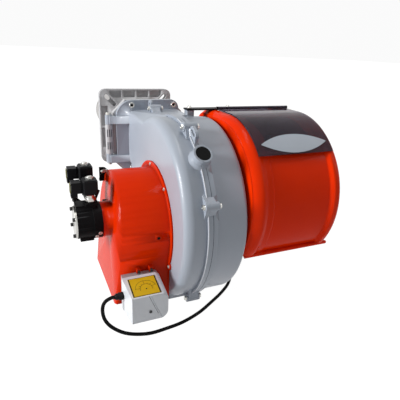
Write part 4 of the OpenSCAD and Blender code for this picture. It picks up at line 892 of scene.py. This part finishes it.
# %% Caps on the plugs
cap_form = bmesh.new()
for lo, hi in plug_boxes:
    y, bottom, top = (lo.y + hi.y) / 2, lo.z + 9 * MM, hi.z - 3 * MM
    for half, inset, proud in ((6 * MM, 0, 0.8 * MM), (3 * MM, 3 * MM, 1.6 * MM)):
        for vert in bmesh.ops.create_cube(cap_form, size=1.0)["verts"]:
            vert.co = Vector((lo.x - proud if vert.co.x < 0 else lo.x + 0.4 * MM,
                              y + half if vert.co.y > 0 else y - half,
                              top - inset if vert.co.z > 0 else bottom + inset))
plug_caps = solids(cap_form, "plug_caps", "olive_cap")
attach(plug_caps, body_of["valve_connectors"])

# %% Rings and nuts
ring = lathe("stem ring", rings_mm([(8.0, -1.6, 0), (11.6, -1.6, 0), (12.4, -0.8, 0), (12.4, 0.8, 0), (11.6, 1.6, 0),
    (8.0, 1.6, 0)]))
under_coils = [((lo.x + hi.x) / 2, (lo.y + hi.y) / 2, lo.z - 2.0 * MM) for lo, hi in islands("valve_coils")]
stem_rings = copies_of("stem_rings", ring, under_coils, UP, FINISHES["red_ring"])
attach(stem_rings, body_of["valve_stems"])

bracket_nut = lathe("bracket nut", rings_mm([(2.0, -3, 0), (4.2, 0, 0), (4.2, 0.4, 6), (4.2, 3.2, 6), (3.2, 3.8, 0),
    (1.6, 4.6, 0)]))
bracket_front = min(v.co.y for v in frame["nodes"]["valve_bracket"].data.vertices)
bracket_nuts = copies_of("bracket_nuts", bracket_nut,
    [(SHAFT.x + x * MM, bracket_front, SHAFT.z + z * MM) for x, z in ((-174, 90), (-163, 92))], FRONT,
    FINISHES["zinc_steel"])
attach(bracket_nuts, body_of["valve_bracket"])

# %% [markdown]
# Two skins leave the finish of their slot. The pump's end cover is bare machined metal, which shows as a bright edge
# behind its black bolts, and the hood has a lighter copy of the orange paint, which is painted light for the light from
# the right.

# %% Pump cover and hood
skins["pump_cover"].data.materials[0] = FINISHES["zinc_steel"]
# The hood's lighter orange is painted light, for the light that reaches it from the right.
skins["hood"].data.materials[0] = FINISHES["hood_orange_lit"]

# %% [markdown]
# ## Floor and light
# The photograph is a product picture on white. The floor and the world are white to the camera and to reflections,
# and light the burner at a plain level. Soft lamps from the left and above give the housing its pale left face.

# %% Floor
FLOOR_HALF, FLOOR_GAP = 40.0, 0.0005


def seen_directly(tree):
    """One for the camera's, reflected and transmitted rays, and nothing for the rays that light the burner."""
    rays = tree.nodes.new("ShaderNodeLightPath")
    seen = math_node(tree, "ADD", rays.outputs["Is Camera Ray"], rays.outputs["Is Glossy Ray"])
    return math_node(tree, "ADD", seen, rays.outputs["Is Transmission Ray"], clamp=True)


floor_z = cad_low.z - FLOOR_GAP
floor_mesh = bpy.data.meshes.new("floor")
floor_mesh.from_pydata([(x * FLOOR_HALF, y * FLOOR_HALF, floor_z) for x, y in ((-1, -1), (1, -1), (1, 1), (-1, 1))],
                       [], [(0, 1, 2, 3)])
floor = add_object("floor", floor_mesh)
paper, tree, matt = new_material("white paper")
matt.inputs["Base Color"].default_value = (0.8, 0.8, 0.8, 1)
matt.inputs["Roughness"].default_value = 0.9
glow = tree.nodes.new("ShaderNodeEmission")
glow.inputs["Color"].default_value = (1, 1, 1, 1)
glow.inputs["Strength"].default_value = 1.2
mixer = tree.nodes.new("ShaderNodeMixShader")
tree.links.new(math_node(tree, "MULTIPLY", seen_directly(tree), 0.82), mixer.inputs[0])
tree.links.new(matt.outputs[0], mixer.inputs[1])
tree.links.new(glow.outputs[0], mixer.inputs[2])
tree.links.new(mixer.outputs[0], tree.nodes["Material Output"].inputs["Surface"])
floor_mesh.materials.append(paper)

# %% World and lamps
world = bpy.data.worlds.new("studio")
bpy.context.scene.world = world
world.use_nodes = True
tree = world.node_tree
sky = tree.nodes["Background"]
sky.inputs["Color"].default_value = (1, 1, 1, 1)
tree.links.new(math_node(tree, "MULTIPLY_ADD", seen_directly(tree), 0.8, 0.16), sky.inputs["Strength"])


def lamp(name, place, target, width, height, power):
    light = bpy.data.lights.new(name, "AREA")
    light.shape = "RECTANGLE"
    light.size = width
    light.size_y = height
    light.energy = power
    obj = add_object(name, light)
    obj.location = place
    obj.rotation_mode = "QUATERNION"
    obj.rotation_quaternion = (target - Vector(place)).to_track_quat("-Z", "Y")


centre = (cad_low + cad_high) / 2
lamp("key", (-4.0, -0.62, 1.2), centre, 0.9, 1.8, 178.0)
lamp("top", (0.3, -0.4, 2.6), centre, 1.6, 0.7, 19.0)
lamp("fill", (2.6, -2.0, 1.3), centre, 0.5, 1.6, 8.0)
bpy.context.scene.view_settings.view_transform = "Standard"

# %% [markdown]
